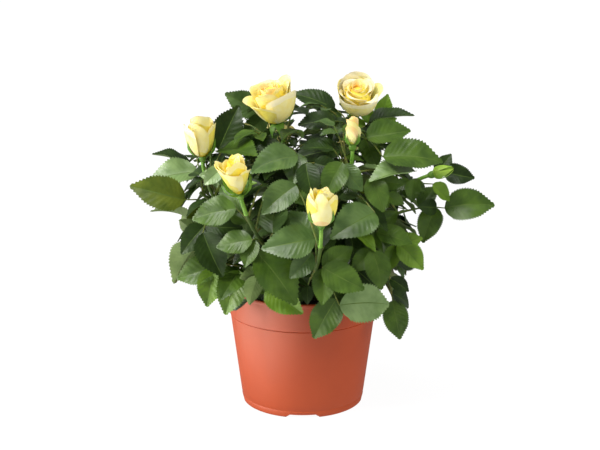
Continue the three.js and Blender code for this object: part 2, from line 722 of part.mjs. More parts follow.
// A leaf leaves its shoot where its rachis is free and comes out nearest to the usual length
function growLeaf(shoot, end, tip, facing) {
  const leaflet = makeLeaflet(end, tip, facing);
  if (!bladeIsFree(leaflet)) {
    return null;
  }
  const first = shoot.start + FIRST_NODE;
  const last = shoot.bloom ? LAST_NODE_UNDER_BLOOM : LAST_NODE;
  const length = (node) => node.distanceTo(end);
  const miss = (node) => Math.abs(length(node) - USUAL_RACHIS);
  const line = stretch(shoot.curve, first, last, NODE_CHOICES)
    .filter((node) => length(node) > SHORTEST_RACHIS && length(node) < LONGEST_RACHIS)
    .sort((one, other) => miss(one) - miss(other))
    .map((node) => rachisLine(node, end))
    .find((route) => twigIsFree(route, shoot));
  return line ? { shoot, line, radius: RACHIS_RADIUS[0], leaflets: [leaflet], taken: [] } : null;
}

const faceTurned = (face) => UP.clone().multiplyScalar(1 - Math.abs(face)).addScaledVector(FRONT, face);

SHOW_LEAVES.forEach(([name, end, ...tips]) => {
  const shoot = shoots.find((row) => row.name === name);
  const leaf = growLeaf(shoot, vector(end), vector(tips[0]), faceTurned(tips[0][3]));
  for (const tip of tips.slice(1)) {
    const hand = Math.sign(leaf.leaflets[0].across.dot(toward(leaf.line[2], vector(tip))));
    const leaflet = makeLeaflet(pairBase(leaf, 0, hand), vector(tip), faceTurned(tip[3]));
    if (bladeIsFree(leaflet, leaf.line)) {
      leaf.taken.push(`0 ${hand}`);
      leaf.leaflets.push(leaflet);
    }
  }
  leaves.push(leaf);
});
leaves.forEach((leaf) => addPairs(leaf, (leaflet) => leaflet.tip.z > LOWEST_TIP));

// Leaves by rule: each place of a shell is taken by the nearest shoot that has a free way to it
function shellPlace(number, count, share) {
  const up = 1 - (2 * (number + 0.5)) / count;
  const angle = radians(number * SHELL_TURN);
  const flat = Math.sqrt(1 - up * up);
  const way = new THREE.Vector3(flat * Math.cos(angle), flat * Math.sin(angle), up);
  return along(vector(CROWN_CENTRE), way, share / Math.pow(crownSum(way), 1 / CROWN_ROUNDNESS));
}

function fillPlace(place, random) {
  const blade = mix(END_LEAFLET[0], END_LEAFLET[1], random());
  const sway = mix(-25, 25, random());
  const outward = toward(vector(CROWN_HEART), place);
  const normal = along(outward, UP, mix(0.3, 1, random())).normalize();
  const near = shoots.map((shoot) => ({ shoot, distance: distanceToLine(place, shoot.points) }));
  near.sort((one, other) => one.distance - other.distance);
  for (const { shoot } of near.slice(0, NEAR_SHOOTS)) {
    const from = shoot.curve.getPoint(mix(shoot.start, 1, 0.5));
    const forward = square(toward(from, place), normal);
    for (const turn of LEAF_TURNS) {
      const heading = forward.clone().applyAxisAngle(normal, radians(turn + sway));
      const tip = along(place, heading, blade / 2);
      const open = tip.z > LOWEST_TIP && inOwnSpace(tip, shoot);
      const leaf = open && growLeaf(shoot, along(place, heading, -blade / 2), tip, normal);
      if (leaf) {
        addPairs(leaf, (leaflet) => withinCrown(leaflet.tip) && inOwnSpace(leaflet.tip, shoot));
        leaves.push(leaf);
        return;
      }
    }
  }
}

const random = makeRandom(7919);
for (const [share, count] of LEAF_SHELLS) {
  for (let number = 0; number < count; number += 1) {
    const place = shellPlace(number, count, share);
    if (place.z > CROWN_LOWEST) {
      fillPlace(place, random);
    }
  }
}

// Whether two corners of a solid lie so close that they would run together
function cornersMeet(solid) {
  const values = solid.getMesh().vertProperties;
  const corners = Array.from({ length: values.length / 3 }, (_, i) => vector(values.slice(3 * i, 3 * i + 3)));
  corners.sort((one, other) => one.x - other.x);
  return corners.some((corner, i) => {
    for (let next = i + 1; next < corners.length && corners[next].x - corner.x < CORNER_GAP; next += 1) {
      if (corner.distanceTo(corners[next]) < CORNER_GAP) {
        return true;
      }
    }
    return false;
  });
}

// One mass: its shoot, its rachises and their leaflets, joined into one body
function joinMass(shoot, roll) {
  const shootRadii = taper(SHOOT_RADIUS, shoot.points.length);
  const solids = [toSolid(limb(shoot.points, shootRadii, TWIG_SIDES, roll))];
  for (const leaf of leaves.filter((row) => row.shoot === shoot)) {
    solids.push(toSolid(limb(leaf.line, taper(RACHIS_RADIUS, leaf.line.length), TWIG_SIDES, roll)));
    leaf.leaflets.forEach((leaflet, i) => {
      solids.push(bladeSolid(leaflet, i === 0 ? onLine(leaf.line, ROOT) : leaflet.base));
    });
  }
  if (shoot.bloom) {
    solids.push(calyxSolid(shoot));
  }
  return wasm.Manifold.union(solids).simplify(FINEST_EDGE);
}

// The three-sided twigs of a mass are rolled on until no two corners of the joined body run together
function foliageSolid(shoot) {
  let mass = joinMass(shoot, 0);
  for (let turn = 1; turn < ROLL_TRIES && cornersMeet(mass); turn += 1) {
    mass = joinMass(shoot, radians(turn * ROLL_STEP));
  }
  return mass;
}

// The plant
function material(slot) {
  const [color, roughness] = COLOURS[slot];
  return new THREE.MeshStandardMaterial({ color, roughness, metalness: 0 });
}

const rosebush = new THREE.Group();

function addPiece(name, slot, geometry) {
  const mesh = new THREE.Mesh(geometry, material(slot));
  mesh.name = name;
  rosebush.add(mesh);
}

addPiece("pot", "pot", toGeometry(potSolid()));
addPiece("soil", "soil", toGeometry(soilSolid()));
stems.forEach((stem, number) => {
  addPiece(`stem_${number + 1}`, "wood", limb(stem.points, stem.radii, STEM_SIDES));
});
for (const shoot of shoots) {
  const radii = taper(BOUGH_RADIUS, shoot.bough.length);
  addPiece(`bough_${shoot.name}`, "wood", limb(shoot.bough, radii, BOUGH_SIDES));
  addPiece(`foliage_${shoot.name}`, "leaf", toGeometry(foliageSolid(shoot)));
  if (shoot.bloom) {
    const slot = shoot.name === "right_bud" ? "green_bud" : "petal";
    addPiece(`bloom_${shoot.name}`, slot, toGeometry(petalSolid(shoot)));
  }
}

// The origin is at the centre of the whole plant's base
const box = new THREE.Box3().setFromObject(rosebush);
rosebush.position.set(-(box.min.x + box.max.x) / 2, -(box.min.y + box.max.y) / 2, -box.min.z);

export default rosebush;
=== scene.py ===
"""A potted miniature rose bush with pale yellow blooms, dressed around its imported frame.

The plant grows by the same rule and from the same named sizes as its solids, in millimetres from the
pot's axis at ground level. Every mesh is then placed in the frame, in metres.
"""
import json
import math
from collections import namedtuple

import bpy
import numpy as np
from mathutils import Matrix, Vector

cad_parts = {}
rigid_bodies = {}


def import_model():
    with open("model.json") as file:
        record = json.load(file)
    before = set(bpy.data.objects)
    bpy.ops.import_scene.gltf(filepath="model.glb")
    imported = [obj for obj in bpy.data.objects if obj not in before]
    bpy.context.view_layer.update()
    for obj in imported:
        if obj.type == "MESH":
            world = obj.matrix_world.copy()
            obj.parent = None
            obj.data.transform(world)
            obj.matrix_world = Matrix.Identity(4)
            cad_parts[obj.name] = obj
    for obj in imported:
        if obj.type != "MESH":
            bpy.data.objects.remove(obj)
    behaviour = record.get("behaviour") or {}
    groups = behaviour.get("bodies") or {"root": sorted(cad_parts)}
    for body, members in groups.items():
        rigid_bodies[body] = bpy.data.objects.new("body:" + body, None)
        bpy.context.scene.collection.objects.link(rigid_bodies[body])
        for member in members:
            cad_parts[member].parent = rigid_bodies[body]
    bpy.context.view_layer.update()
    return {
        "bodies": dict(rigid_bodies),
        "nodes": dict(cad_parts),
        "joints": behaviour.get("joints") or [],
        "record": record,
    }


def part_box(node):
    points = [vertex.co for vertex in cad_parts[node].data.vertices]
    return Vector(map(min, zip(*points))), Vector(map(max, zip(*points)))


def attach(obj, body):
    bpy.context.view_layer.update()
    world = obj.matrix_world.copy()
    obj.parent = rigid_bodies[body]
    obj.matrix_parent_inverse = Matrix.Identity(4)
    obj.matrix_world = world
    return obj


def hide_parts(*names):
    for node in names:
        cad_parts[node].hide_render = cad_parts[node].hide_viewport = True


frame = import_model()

MM = 0.001

# Pot and soil
RIM_RADIUS = 60
POT_HEIGHT = 97
STEP_HEIGHT = 75.2
STEP_RADIUS = 58.6
FOOT_RADIUS = 48.9
COLLAR_PROUD = 0.7
WALL = 1.4
LIP_WIDTH = 2.4
LIP_HEIGHT = 2.6
FOOT_RING_WIDTH = 2.2
FLOOR_RISE = 3
FLOOR_THICKNESS = 1.6
NOTCH_WIDTH = 26
NOTCH_HEIGHT = 2.8
NOTCH_COUNT = 4
DRAIN_COUNT = 8
DRAIN_RADIUS = 4
DRAIN_CIRCLE = 34
SOIL_TOP = 84

# Woody stems
STEM_COUNT = 5
STEM_FIRST_ANGLE = 198
STEM_FOOT_CIRCLE = 13
STEM_TOP_CIRCLE = 21
STEM_TOP = 120
STEM_RADIUS = (3.1, 2.1)
STEM_FLARE = 1.6

# Boughs, shoots and leaf stalks
SEAT_GAP = 0.3
BOUGH_SHARE = 0.36
BOUGH_SOCKET = 1.5
BOUGH_FIRST_RING = 0.14
SHOOT_OUTSET = 9
SHOOT_EASE = 0.4
SHOOT_RINGS = 8
STEM_ROOM = 0.6
BOUGH_RADIUS = (2.1, 1.7)
SHOOT_RADIUS = (1.6, 1.3)
RACHIS_RADIUS = (0.6, 0.5)

# Leaves: a rachis with one leaflet at its end and pairs along it
LEAF_WIDTH = 0.62
LEAF_ARCH = 0.05
LEAF_FOLD = 0.22
PAIR_PLACES = (0.76, 0.34)
PAIR_SIZES = (0.78, 0.58)
PAIR_DROOPS = (0.02, 0.42)
PAIR_STAGGER = 0.012
PAIR_ANGLE = 64
PAIR_TWIST = 0.25
RACHIS_BEND = 0.62
RACHIS_CREST = 0.16
SHORTEST_RACHIS = 10
USUAL_RACHIS = 27
LONGEST_RACHIS = 60
END_LEAFLET = (31, 42)
NODE_CHOICES = 25
FIRST_NODE = 0.03
LAST_NODE = 0.97
LAST_NODE_UNDER_BLOOM = 0.86

# Room kept round limbs, leaves, blooms and pot
CLEAR = 0.8
BLOOM_CLEAR = 1.2
POT_CLEAR = 1
OVERREACH = 16

# The crown's envelope, and the places for leaves on shells inside it
CROWN_CENTRE = np.array([-4.0, 13.0, 148.0])
CROWN_REACH = np.array([98.0, 90.0, 101.0])
CROWN_ROUNDNESS = 2.6
CROWN_LOWEST = 92
LOWEST_TIP = 100
CROWN_HEART = np.array([4.0, 0.0, 115.0])
LEAF_SHELLS = ((0.86, 130), (0.64, 80), (0.42, 30))
SHELL_SEED = 7919
SHELL_TURN = 137.508
LEAF_TURNS = (0, 40, -40, 80, -80)
LEAF_SWAY = (-25, 25)
LEAF_LIFT = (0.3, 1)
NEAR_SHOOTS = 3

# Young leaves that fill the crown between the full-grown ones
YOUNG_LEAFLET = (17, 27)
YOUNG_SHELLS = ((0.9, 170), (0.74, 150), (0.55, 90), (0.36, 40))
YOUNG_SEED = 4391

# Blooms
HIP_HEIGHT = 3.6
HIP_RADIUS = 2.8
WIDEST_CALYX = 24
CUP_MARGIN = 1.1

# Shoots: name, stem, share of the stem's height, end, heading, bloom, its width and height
SHOOTS = (
    ("left", 0, 0.62, (-80, -20, 176), (-0.8, -0.1, 0.6)),
    ("left_bud", 0, 0.96, (-76, -38, 205), (-0.03, -0.15, 1), "bud", (25, 33)),
    ("left_low", 0, 0.42, (-62, -45, 127), (-0.8, -0.5, 0.2)),
    ("middle_bud", 1, 0.82, (-45, -88, 187), (-0.2, -0.3, 0.95), "bud", (24, 31)),
    ("front_left", 1, 0.52, (-30, -78, 141), (-0.4, -0.6, 0.6)),
    ("front_bud", 1, 0.66, (13, -102, 168), (0, -0.1, 1), "bud", (23, 27)),
    ("front_low", 1, 0.38, (20, -74, 121), (0.2, -0.9, 0.1)),
    ("small_bud", 1, 0.96, (37, -48, 215), (0, 0, 1), "bud", (13, 20)),
    ("right_low", 2, 0.42, (68, -35, 122), (0.8, -0.4, 0.1)),
    ("right", 2, 0.6, (79, -22, 162), (0.9, -0.1, 0.4)),
    ("right_bud", 2, 0.78, (98, -18, 189), (0.92, -0.1, 0.3), "bud", (9, 16)),
    ("right_bloom", 2, 0.96, (43, 2, 235), (0.04, -0.62, 0.78), "open", (32, 27)),
    ("back_right", 3, 0.62, (82, 50, 172), (0.7, 0.3, 0.6)),
    ("back_right_low", 3, 0.42, (58, 78, 120), (0.5, 0.8, 0.1)),
    ("back_right_bud", 3, 0.94, (38, 78, 182), (0.1, 0.3, 1), "bud", (23, 29)),
    ("top_bloom", 4, 0.97, (-18, -18, 228), (-0.24, -0.22, 0.95), "open", (35, 35)),
    ("back_bloom", 4, 0.8, (-24, 66, 188), (-0.1, 0.55, 0.83), "open", (36, 30)),
    ("back_left", 4, 0.62, (-80, 48, 176), (-0.7, 0.3, 0.6)),
    ("back_left_low", 4, 0.42, (-48, 80, 122), (-0.4, 0.8, 0.1)),
)

# Leaves of the show side: shoot, tones of leaflets, end of the rachis, then each leaflet's tip and how far
# its face turns to the front
SHOW_LEAVES = (
    ("left", "olive", (-91, -28, 172), (-132, -35, 185, 0.6)),
    ("left", "grey", (-82, -8, 190), (-121, -14, 184, 0.45)),
    ("left_bud", "dark", (-90, 16, 191), (-120, 11, 201, 0.1)),
    ("left", "grey", (-85, -12, 152), (-119, -16, 163, -0.3)),
    ("left_low", "grey", (-79, -38, 142), (-94, -45, 161, -0.8)),
    ("left_low", "grey", (-81, -30, 138), (-102, -24, 105, -0.6)),
    ("left_low", "bright mid", (-67, -55, 126), (-73, -62, 96, 0.8), (-97, -50, 115, 0.6)),
    ("left_low", "bright mid", (-48, -58, 124), (-59, -66, 91, 0.7), (-61, -80, 109, 0.5)),
    ("left", "dark", (-75, -60, 154), (-60, -70, 122, 0.6)),
    ("front_left", "grey", (-33, -79, 126), (-40, -84, 105, -0.6)),
    ("middle_bud", "mid", (-49, -78, 177), (-82, -72, 167, 0.6)),
    ("left_bud", "grey", (-60, -56, 203), (-74, -57, 190, 0.8)),
    ("middle_bud", "mid", (-37, -85, 155), (-64, -80, 148, 0.6)),
    ("front_left", "mid", (-34, -82, 145), (-4, -90, 107, 0.45)),
    ("front_left", "bright", (-27, -72, 116), (0, -84, 98, 0.85)),
    ("front_bud", "sage", (9, -91, 158), (-30, -99, 153, 0.6)),
    ("small_bud", "sage", (53, -70, 172), (20, -95, 159, 0.6)),
    ("front_low", "mid", (14, -88, 135), (45, -92, 119, 0.7)),
    ("front_bud", "sage", (7, -86, 145), (-10, -90, 127, 0.75)),
    ("front_low", "grey mid", (27, -82, 104), (67, -62, 98, 0.8), (8, -77, 76, 0.9)),
    ("right_low", "mid dark", (70, -35, 93), (76, -42, 63, 0.85), (86, -20, 84, 0.5)),
    ("right_low", "bright", (73, -45, 142), (92, -50, 122, 0.7)),
    ("right", "mid", (56, -50, 152), (83, -55, 145, 0.5)),
    ("right_low", "mid", (52, -62, 141), (59, -70, 112, 0.6)),
    ("right", "mid dark mid", (110, -22, 164),
     (149, -24, 167, 0.7), (88, -34, 168, 0.8), (93, -30, 138, 0.7)),
    ("right_bud", "dark", (110, -6, 190), (135, -8, 185, 0.7)),
    ("right_bud", "bright", (100, -26, 184), (114, -24, 170, 0.5)),
    ("right_bud", "mid", (86, -25, 188), (84, -30, 170, 0.8)),
    ("small_bud", "grey", (85, -40, 197), (49, -60, 195, 0.2)),
    ("right_bloom", "mid", (60, -45, 209), (106, -40, 204, 0.45)),
    ("right_bloom", "mid", (48, -25, 220), (83, -20, 225, 0.5)),
    ("right_bloom", "dark", (52, 8, 226), (88, 8, 233, 0.15)),
    ("right_bloom", "bright", (62, 28, 224), (68, 27, 246, 0.8)),
    ("small_bud", "mid sage", (29, -62, 208), (16, -75, 184, 0.8), (44, -66, 187, 0.7)),
    ("right", "mid", (50, -55, 195), (60, -62, 170, 0.7)),
    ("top_bloom", "dark", (-65, -18, 209), (-49, -12, 243, 0.9)),
    ("top_bloom", "sage", (-33, 30, 231), (-62, 25, 247, 0.8)),
    ("top_bloom", "dark", (-46, -32, 213), (-7, -46, 205, 0.45)),
    ("top_bloom", "sage", (-4, -52, 211), (-39, -64, 202, 0.5)),
    ("front_bud", "sage", (-5, -76, 194), (-30, -88, 175, 0.65)),
    ("right_bloom", "dark", (26, 30, 234), (-9, 35, 247, 0.35)),
    ("right_bloom", "dark", (25, -14, 231), (-4, -20, 229, 0.5)),
    ("small_bud", "dark", (28, -38, 213), (-7, -44, 207, 0.45)),
    ("small_bud", "dark", (2, -64, 208), (8, -74, 183, 0.7)),
)

RANDOM_FACTOR = 16807
RANDOM_LIMIT = 2147483647
UP = np.array([0.0, 0.0, 1.0])
FRONT = np.array([0.0, -1.0, 0.0])
RIGHT = np.array([1.0, 0.0, 0.0])


def unit(vector):
    return vector / math.sqrt(vector @ vector)


def toward(start, end):
    return unit(end - start)


def square(direction, axis):
    return unit(direction - axis * (direction @ axis))


def mix(low, high, share):
    return (1 - share) * low + share * high


def apart(one, other):
    return math.sqrt((other - one) @ (other - one))


def turned(vector, axis, angle):
    """The vector turned round an axis by an angle in radians."""
    cos, sin = math.cos(angle), math.sin(angle)
    return vector * cos + np.cross(axis, vector) * sin + axis * (axis @ vector) * (1 - cos)


def bezier(corners, share):
    """A point on a Bezier curve, or one row of points for a row of shares."""
    share = np.asarray(share, dtype=float)
    degree = len(corners) - 1
    weights = [math.comb(degree, i) * (1 - share) ** (degree - i) * share ** i for i in range(degree + 1)]
    return sum(weight[..., None] * corner for weight, corner in zip(weights, corners))


def make_random(state):
    """A repeatable stream of numbers from 0 to 1."""
    while True:
        state = state * RANDOM_FACTOR % RANDOM_LIMIT
        yield state / RANDOM_LIMIT


def wall_radius(z):
    return mix(FOOT_RADIUS, STEP_RADIUS, z / STEP_HEIGHT)


# Stems and shoots


def make_stem(number):
    angle = math.radians(STEM_FIRST_ANGLE + (360 / STEM_COUNT) * number)
    way = np.array([math.cos(angle), math.sin(angle), 0.0])
    foot = way * STEM_FOOT_CIRCLE + UP * (SOIL_TOP + SEAT_GAP)
    top = way * STEM_TOP_CIRCLE + UP * STEM_TOP
    return foot, foot + UP * (STEM_TOP - SOIL_TOP) / 2, top


STEMS = [make_stem(number) for number in range(STEM_COUNT)]


class Shoot:
    """The route of a bough and of the shoot beyond it, from its seat on the side of its stem."""

    def __init__(self, name, stem, fork, end, aim, bloom=None, size=None):
        self.name = name
        self.bloom = bloom
        self.size = size
        self.end = np.array(end, dtype=float)
        self.aim = unit(np.array(aim, dtype=float))
        self.foot = bezier(STEMS[stem], fork)
        axis = toward(bezier(STEMS[stem], fork - 0.0001), bezier(STEMS[stem], min(fork + 0.0001, 1)))
        outward = square(toward(self.foot, self.end), axis)
        seat = self.foot + outward * (mix(*STEM_RADIUS, fork) + SEAT_GAP)
        length = apart(seat, self.end)
        leave = seat + outward * SHOOT_OUTSET
        arrive = self.end - self.aim * SHOOT_EASE * length
        self.corners = (seat, leave, arrive, self.end)
        self.start = BOUGH_SHARE + SEAT_GAP / length
        rings = bezier(self.corners, np.linspace(BOUGH_FIRST_RING, BOUGH_SHARE, 3))
        self.bough = np.vstack([seat, seat + outward * BOUGH_SOCKET, rings])
        self.points = bezier(self.corners, np.linspace(self.start, 1, SHOOT_RINGS))
        last = LAST_NODE_UNDER_BLOOM if bloom else LAST_NODE
        self.nodes = bezier(self.corners, np.linspace(self.start + FIRST_NODE, last, NODE_CHOICES))
        self.middle = bezier(self.corners, mix(self.start, 1, 0.5))

    def bloom_frame(self):
        """The foot of the petals with the bloom's axis and its two cross directions."""
        across = square(RIGHT if abs(self.aim[2]) > 0.9 else UP, self.aim)
        return self.end + self.aim * HIP_HEIGHT, self.aim, across, np.cross(self.aim, across)


SHOOT_LIST = [Shoot(*row) for row in SHOOTS]
BLOOMING = [shoot for shoot in SHOOT_LIST if shoot.bloom]


# Leaflets


def half_width(share):
    """The outline, widest at two fifths of the length and drawn out to a point."""
    return 1.277 * LEAF_WIDTH * share ** 0.55 * (1 - share) ** 0.85


def blade_rise(share, side):
    return 4 * LEAF_ARCH * share * (1 - share) + LEAF_FOLD * abs(side)


class Leaflet:
    """One blade's place: its length, its own three directions and the wires that others keep clear of."""

    def __init__(self, base, tip, facing):
        self.base = base
        self.tip = tip
        self.length = apart(base, self.tip)
        self.lengthwise = toward(base, self.tip)
        self.normal = square(facing, self.lengthwise)
        self.across = np.cross(self.normal, self.lengthwise)
        self.middle = base + self.lengthwise * self.length / 2
        self.wires = self.wire_points()

    def point(self, share, edge):
        side = edge * half_width(share)
        away = self.lengthwise * share + self.across * side + self.normal * blade_rise(share, side)
        return self.base + away * self.length

    def wire_points(self):
        """Three lines from base to tip, then one across at each station."""
        ribs = [[self.point(share, edge) for edge in (-1, 0, 1)] for share in STATIONS]
        lines = [[self.base, *line, self.tip] for line in zip(*ribs)]
        return np.array([point for line in lines + ribs for point in line])


STATIONS = (0.25, 0.5, 0.75)
LINE_SIZES = (5, 5, 5, 3, 3, 3)
WIRE_PAIRS = np.array([
    (sum(LINE_SIZES[:line]) + i, sum(LINE_SIZES[:line]) + i + 1)
    for line, size in enumerate(LINE_SIZES) for i in range(size - 1)
])
# Two blades whose middles lie further apart than this share of their lengths can't meet
NEAR_ENOUGH = 0.62


class Stack:
    """Rows of numbers that grow, kept as arrays."""

    def __init__(self, **widths):
        self.count = 0
        self.rows = {name: np.zeros((4096, *shape)) for name, shape in widths.items()}

    def add(self, **values):
        for name, value in values.items():
            self.rows[name][self.count] = value
        self.count += 1

    def __getattr__(self, name):
        return self.rows[name][: self.count]


limbs = Stack(start=(3,), step=(3,), middle=(3,), length=(), radius=(), shoot=())
blades = Stack(base=(3,), tip=(3,), length=(), lengthwise=(3,), normal=(3,), across=(3,), middle=(3,),
               wires=(sum(LINE_SIZES), 3))


def add_limb(line, radius, shoot):
    for start, end in zip(line[:-1], line[1:]):
        step = end - start
        limbs.add(start=start, step=step, middle=start + step / 2, length=math.sqrt(step @ step),
                  radius=radius, shoot=shoot)


def over(base, lengthwise, across, normal, length, points, margin):
    """How high points (K, P, 3) stand over K blades, and whether they are beside them."""
    away = points - base[:, None]
    share = np.einsum("kpi,ki->kp", away, lengthwise) / length[:, None]
    side = np.einsum("kpi,ki->kp", away, across) / length[:, None]
    inside = np.clip(share, 0, 1)
    room = (margin / length)[:, None]
    beside = (np.abs(share - inside) > room) | (np.abs(side) > half_width(inside) + room)
    height = np.einsum("kpi,ki->kp", away, normal) - blade_rise(inside, side) * length[:, None]
    return beside, height


def lines_meet(points, pairs, blade, margin):
    """Whether the stretches between paired points meet their blades: one answer for each of K rows."""
    margin = np.broadcast_to(margin, (len(points),))
    beside, height = over(*blade, points, margin)
    touch = (~beside & (np.abs(height) < margin[:, None])).any(axis=1)
    low, high = height[:, pairs[:, 0]], height[:, pairs[:, 1]]
    through = low * high < 0
    share = np.where(through, low / np.where(through, low - high, 1), 0)[..., None]
    cross = points[:, pairs[:, 0]] * (1 - share) + points[:, pairs[:, 1]] * share
    return touch | (through & ~over(*blade, cross, margin)[0]).any(axis=1)


BLADE_PARTS = ("base", "lengthwise", "across", "normal", "length")


def blade_rows(rows=slice(None)):
    return [getattr(blades, part)[rows] for part in BLADE_PARTS]


def repeated(leaflet, count):
    parts = [np.asarray(getattr(leaflet, part)) for part in BLADE_PARTS]
    return [np.broadcast_to(part, (count, *part.shape)) for part in parts]


def wires_meet(leaflet, others, other_wires):
    count = len(other_wires)
    if count == 0:
        return False
    own = np.broadcast_to(leaflet.wires, (count, *leaflet.wires.shape))
    return bool(lines_meet(own, WIRE_PAIRS, others, CLEAR).any()
                or lines_meet(other_wires, WIRE_PAIRS, repeated(leaflet, count), CLEAR).any())


def meets_blades(leaflet):
    reach = (blades.length + leaflet.length) * NEAR_ENOUGH
    near = np.linalg.norm(blades.middle - leaflet.middle, axis=1) <= reach
    near &= np.linalg.norm(blades.base - leaflet.base, axis=1) >= 1
    rows = np.flatnonzero(near)
    return wires_meet(leaflet, blade_rows(rows), blades.wires[rows])


def meets_leaflet(leaflet, other):
    far = apart(leaflet.middle, other.middle) > (leaflet.length + other.length) * NEAR_ENOUGH
    if far or apart(leaflet.base, other.base) < 1:
        return False
    return wires_meet(leaflet, repeated(other, 1), other.wires[None])


def distances(points, start, step):
    """How far each of P points lies from each of N straight stretches."""
    away = points[:, None] - start[None]
    share = np.clip(np.einsum("pni,ni->pn", away, step) / np.einsum("ni,ni->n", step, step), 0, 1)
    return np.linalg.norm(away - step[None] * share[..., None], axis=2)


SHOOT_STARTS = np.array([shoot.points[:-1] for shoot in SHOOT_LIST])
SHOOT_STEPS = np.array([np.diff(shoot.points, axis=0) for shoot in SHOOT_LIST])


def shoot_distances(point):
    rows = distances(point[None], SHOOT_STARTS.reshape(-1, 3), SHOOT_STEPS.reshape(-1, 3))
    return rows.reshape(len(SHOOT_LIST), -1).min(axis=1)


def finely(points, pairs):
    """Points with more added, so that none lies more than 2 mm from the next on its line."""
    rows = [points]
    for low, high in pairs:
        count = math.ceil(apart(points[low], points[high]) / 2)
        shares = np.arange(1, count + 1)[:, None] / count
        rows.append(points[low] * (1 - shares) + points[high] * shares)
    return np.vstack(rows)


def in_pot(points):
    radius = np.hypot(points[:, 0], points[:, 1])
    z = points[:, 2]
    outside = np.where(z < STEP_HEIGHT, wall_radius(z), RIM_RADIUS) + POT_CLEAR
    in_cup = (radius < STEP_RADIUS - WALL - POT_CLEAR) & (z > SOIL_TOP + POT_CLEAR)
    return ((z < POT_HEIGHT + POT_CLEAR) & (radius < outside) & ~in_cup).any()


def in_bloom(points):
    for shoot in BLOOMING:
        foot, axis, _, _ = shoot.bloom_frame()
        width, tall = shoot.size
        away = points - foot
        height = away @ axis
        radius = np.linalg.norm(away - axis * height[:, None], axis=1)
        share = height / tall
        cup = (width / 2) * CUP_MARGIN * np.minimum(1, 0.3 + 2.4 * share) + BLOOM_CLEAR
        in_cup = (share > 0) & (share < CUP_MARGIN) & (radius < cup)
        calyx = min(width, WIDEST_CALYX) / 2 + HIP_RADIUS + BLOOM_CLEAR
        in_calyx = (height > -HIP_HEIGHT - BLOOM_CLEAR) & (height < BLOOM_CLEAR) & (radius < calyx)
        if (in_cup | in_calyx).any():
            return True
    return False


def crown_sum(point):
    """The envelope's formula, which gives 1 on its surface for a point counted from its centre."""
    return float(((np.abs(point) / CROWN_REACH) ** CROWN_ROUNDNESS).sum())


def within_crown(point):
    return point[2] > LOWEST_TIP and crown_sum(point - CROWN_CENTRE) < 1


def in_own_space(point, number):
    away = shoot_distances(point)
    return bool((np.delete(away, number) > away[number] - OVERREACH).all())


LINE_PAIRS = np.array([(0, 1), (1, 2)])
ONE_PAIR = np.array([(0, 1)])


def twig_is_free(line, number):
    points = finely(line, LINE_PAIRS)
    if in_pot(points) or in_bloom(points):
        return False
    others = limbs.shoot != number
    room = limbs.radius[others] + RACHIS_RADIUS[0] + CLEAR
    if (distances(points, limbs.start[others], limbs.step[others]) < room).any():
        return False
    rows = np.broadcast_to(line, (blades.count, 3, 3))
    return not lines_meet(rows, LINE_PAIRS, blade_rows(), 2 * CLEAR).any()


def blade_is_free(leaflet, own_start=None):
    points = finely(leaflet.wires, WIRE_PAIRS)
    if in_pot(points) or in_bloom(points):
        return False
    room = limbs.radius + CLEAR
    reach = leaflet.length * NEAR_ENOUGH + room + limbs.length / 2
    near = np.linalg.norm(limbs.middle - leaflet.middle, axis=1) < reach
    if own_start is not None:
        near[own_start:own_start + 2] = False
    if near.any():
        start, step, room = limbs.start[near], limbs.step[near], room[near]
        if (distances(points, start, step) < room).any():
            return False
        ends = np.stack([start, start + step], axis=1)
        if lines_meet(ends, ONE_PAIR, repeated(leaflet, len(ends)), room).any():
            return False
    return not meets_blades(leaflet)


def rachis_line(node, end):
    crest = (node + end) / 2 + UP * RACHIS_CREST * apart(node, end)
    return np.array([node, bezier((node, crest, end), RACHIS_BEND), end])


def on_line(line, share):
    place = share * (len(line) - 1)
    low = min(math.floor(place), len(line) - 2)
    return line[low] + (line[low + 1] - line[low]) * (place - low)


class Leaf:
    """A rachis that carries its leaflets, the end one first."""

    def __init__(self, number, line, leaflet):
        self.number = number
        self.line = line
        self.leaflets = [leaflet]
        self.taken = set()
        self.tones = None
        self.row = None

    def pair_base(self, pair, hand):
        return on_line(self.line, PAIR_PLACES[pair] + hand * PAIR_STAGGER)

    def settle(self):
        """Takes its place among everything that stands so far."""
        self.row = limbs.count
        add_limb(self.line, RACHIS_RADIUS[0], self.number)
        for leaflet in self.leaflets:
            blades.add(**vars(leaflet))
        leaves.append(self)

    def add_pairs(self, keep):
        end = self.leaflets[0]
        for pair, size in enumerate(PAIR_SIZES):
            for hand in (-1, 1):
                if (pair, hand) in self.taken:
                    continue
                base = self.pair_base(pair, hand)
                angle = math.radians(PAIR_ANGLE)
                heading = end.lengthwise * math.cos(angle) + end.across * hand * math.sin(angle)
                heading = unit(heading - UP * PAIR_DROOPS[pair])
                facing = end.normal + end.across * hand * PAIR_TWIST
                leaflet = Leaflet(base, base + heading * end.length * size, facing)
                if not keep(leaflet) or not blade_is_free(leaflet, self.row):
                    continue
                if any(meets_leaflet(leaflet, other) for other in self.leaflets):
                    continue
                self.leaflets.append(leaflet)
                if self.row is not None:
                    blades.add(**vars(leaflet))


def grow_leaf(number, end, tip, facing):
    """A leaf leaves its shoot where its rachis is free and comes out nearest to the usual length."""
    leaflet = Leaflet(end, tip, facing)
    if not blade_is_free(leaflet):
        return None
    nodes = SHOOT_LIST[number].nodes
    lengths = np.linalg.norm(nodes - end, axis=1)
    for i in np.argsort(np.abs(lengths - USUAL_RACHIS), kind="stable"):
        if SHORTEST_RACHIS < lengths[i] < LONGEST_RACHIS:
            line = rachis_line(nodes[i], end)
            if twig_is_free(line, number):
                return Leaf(number, line, leaflet)
    return None


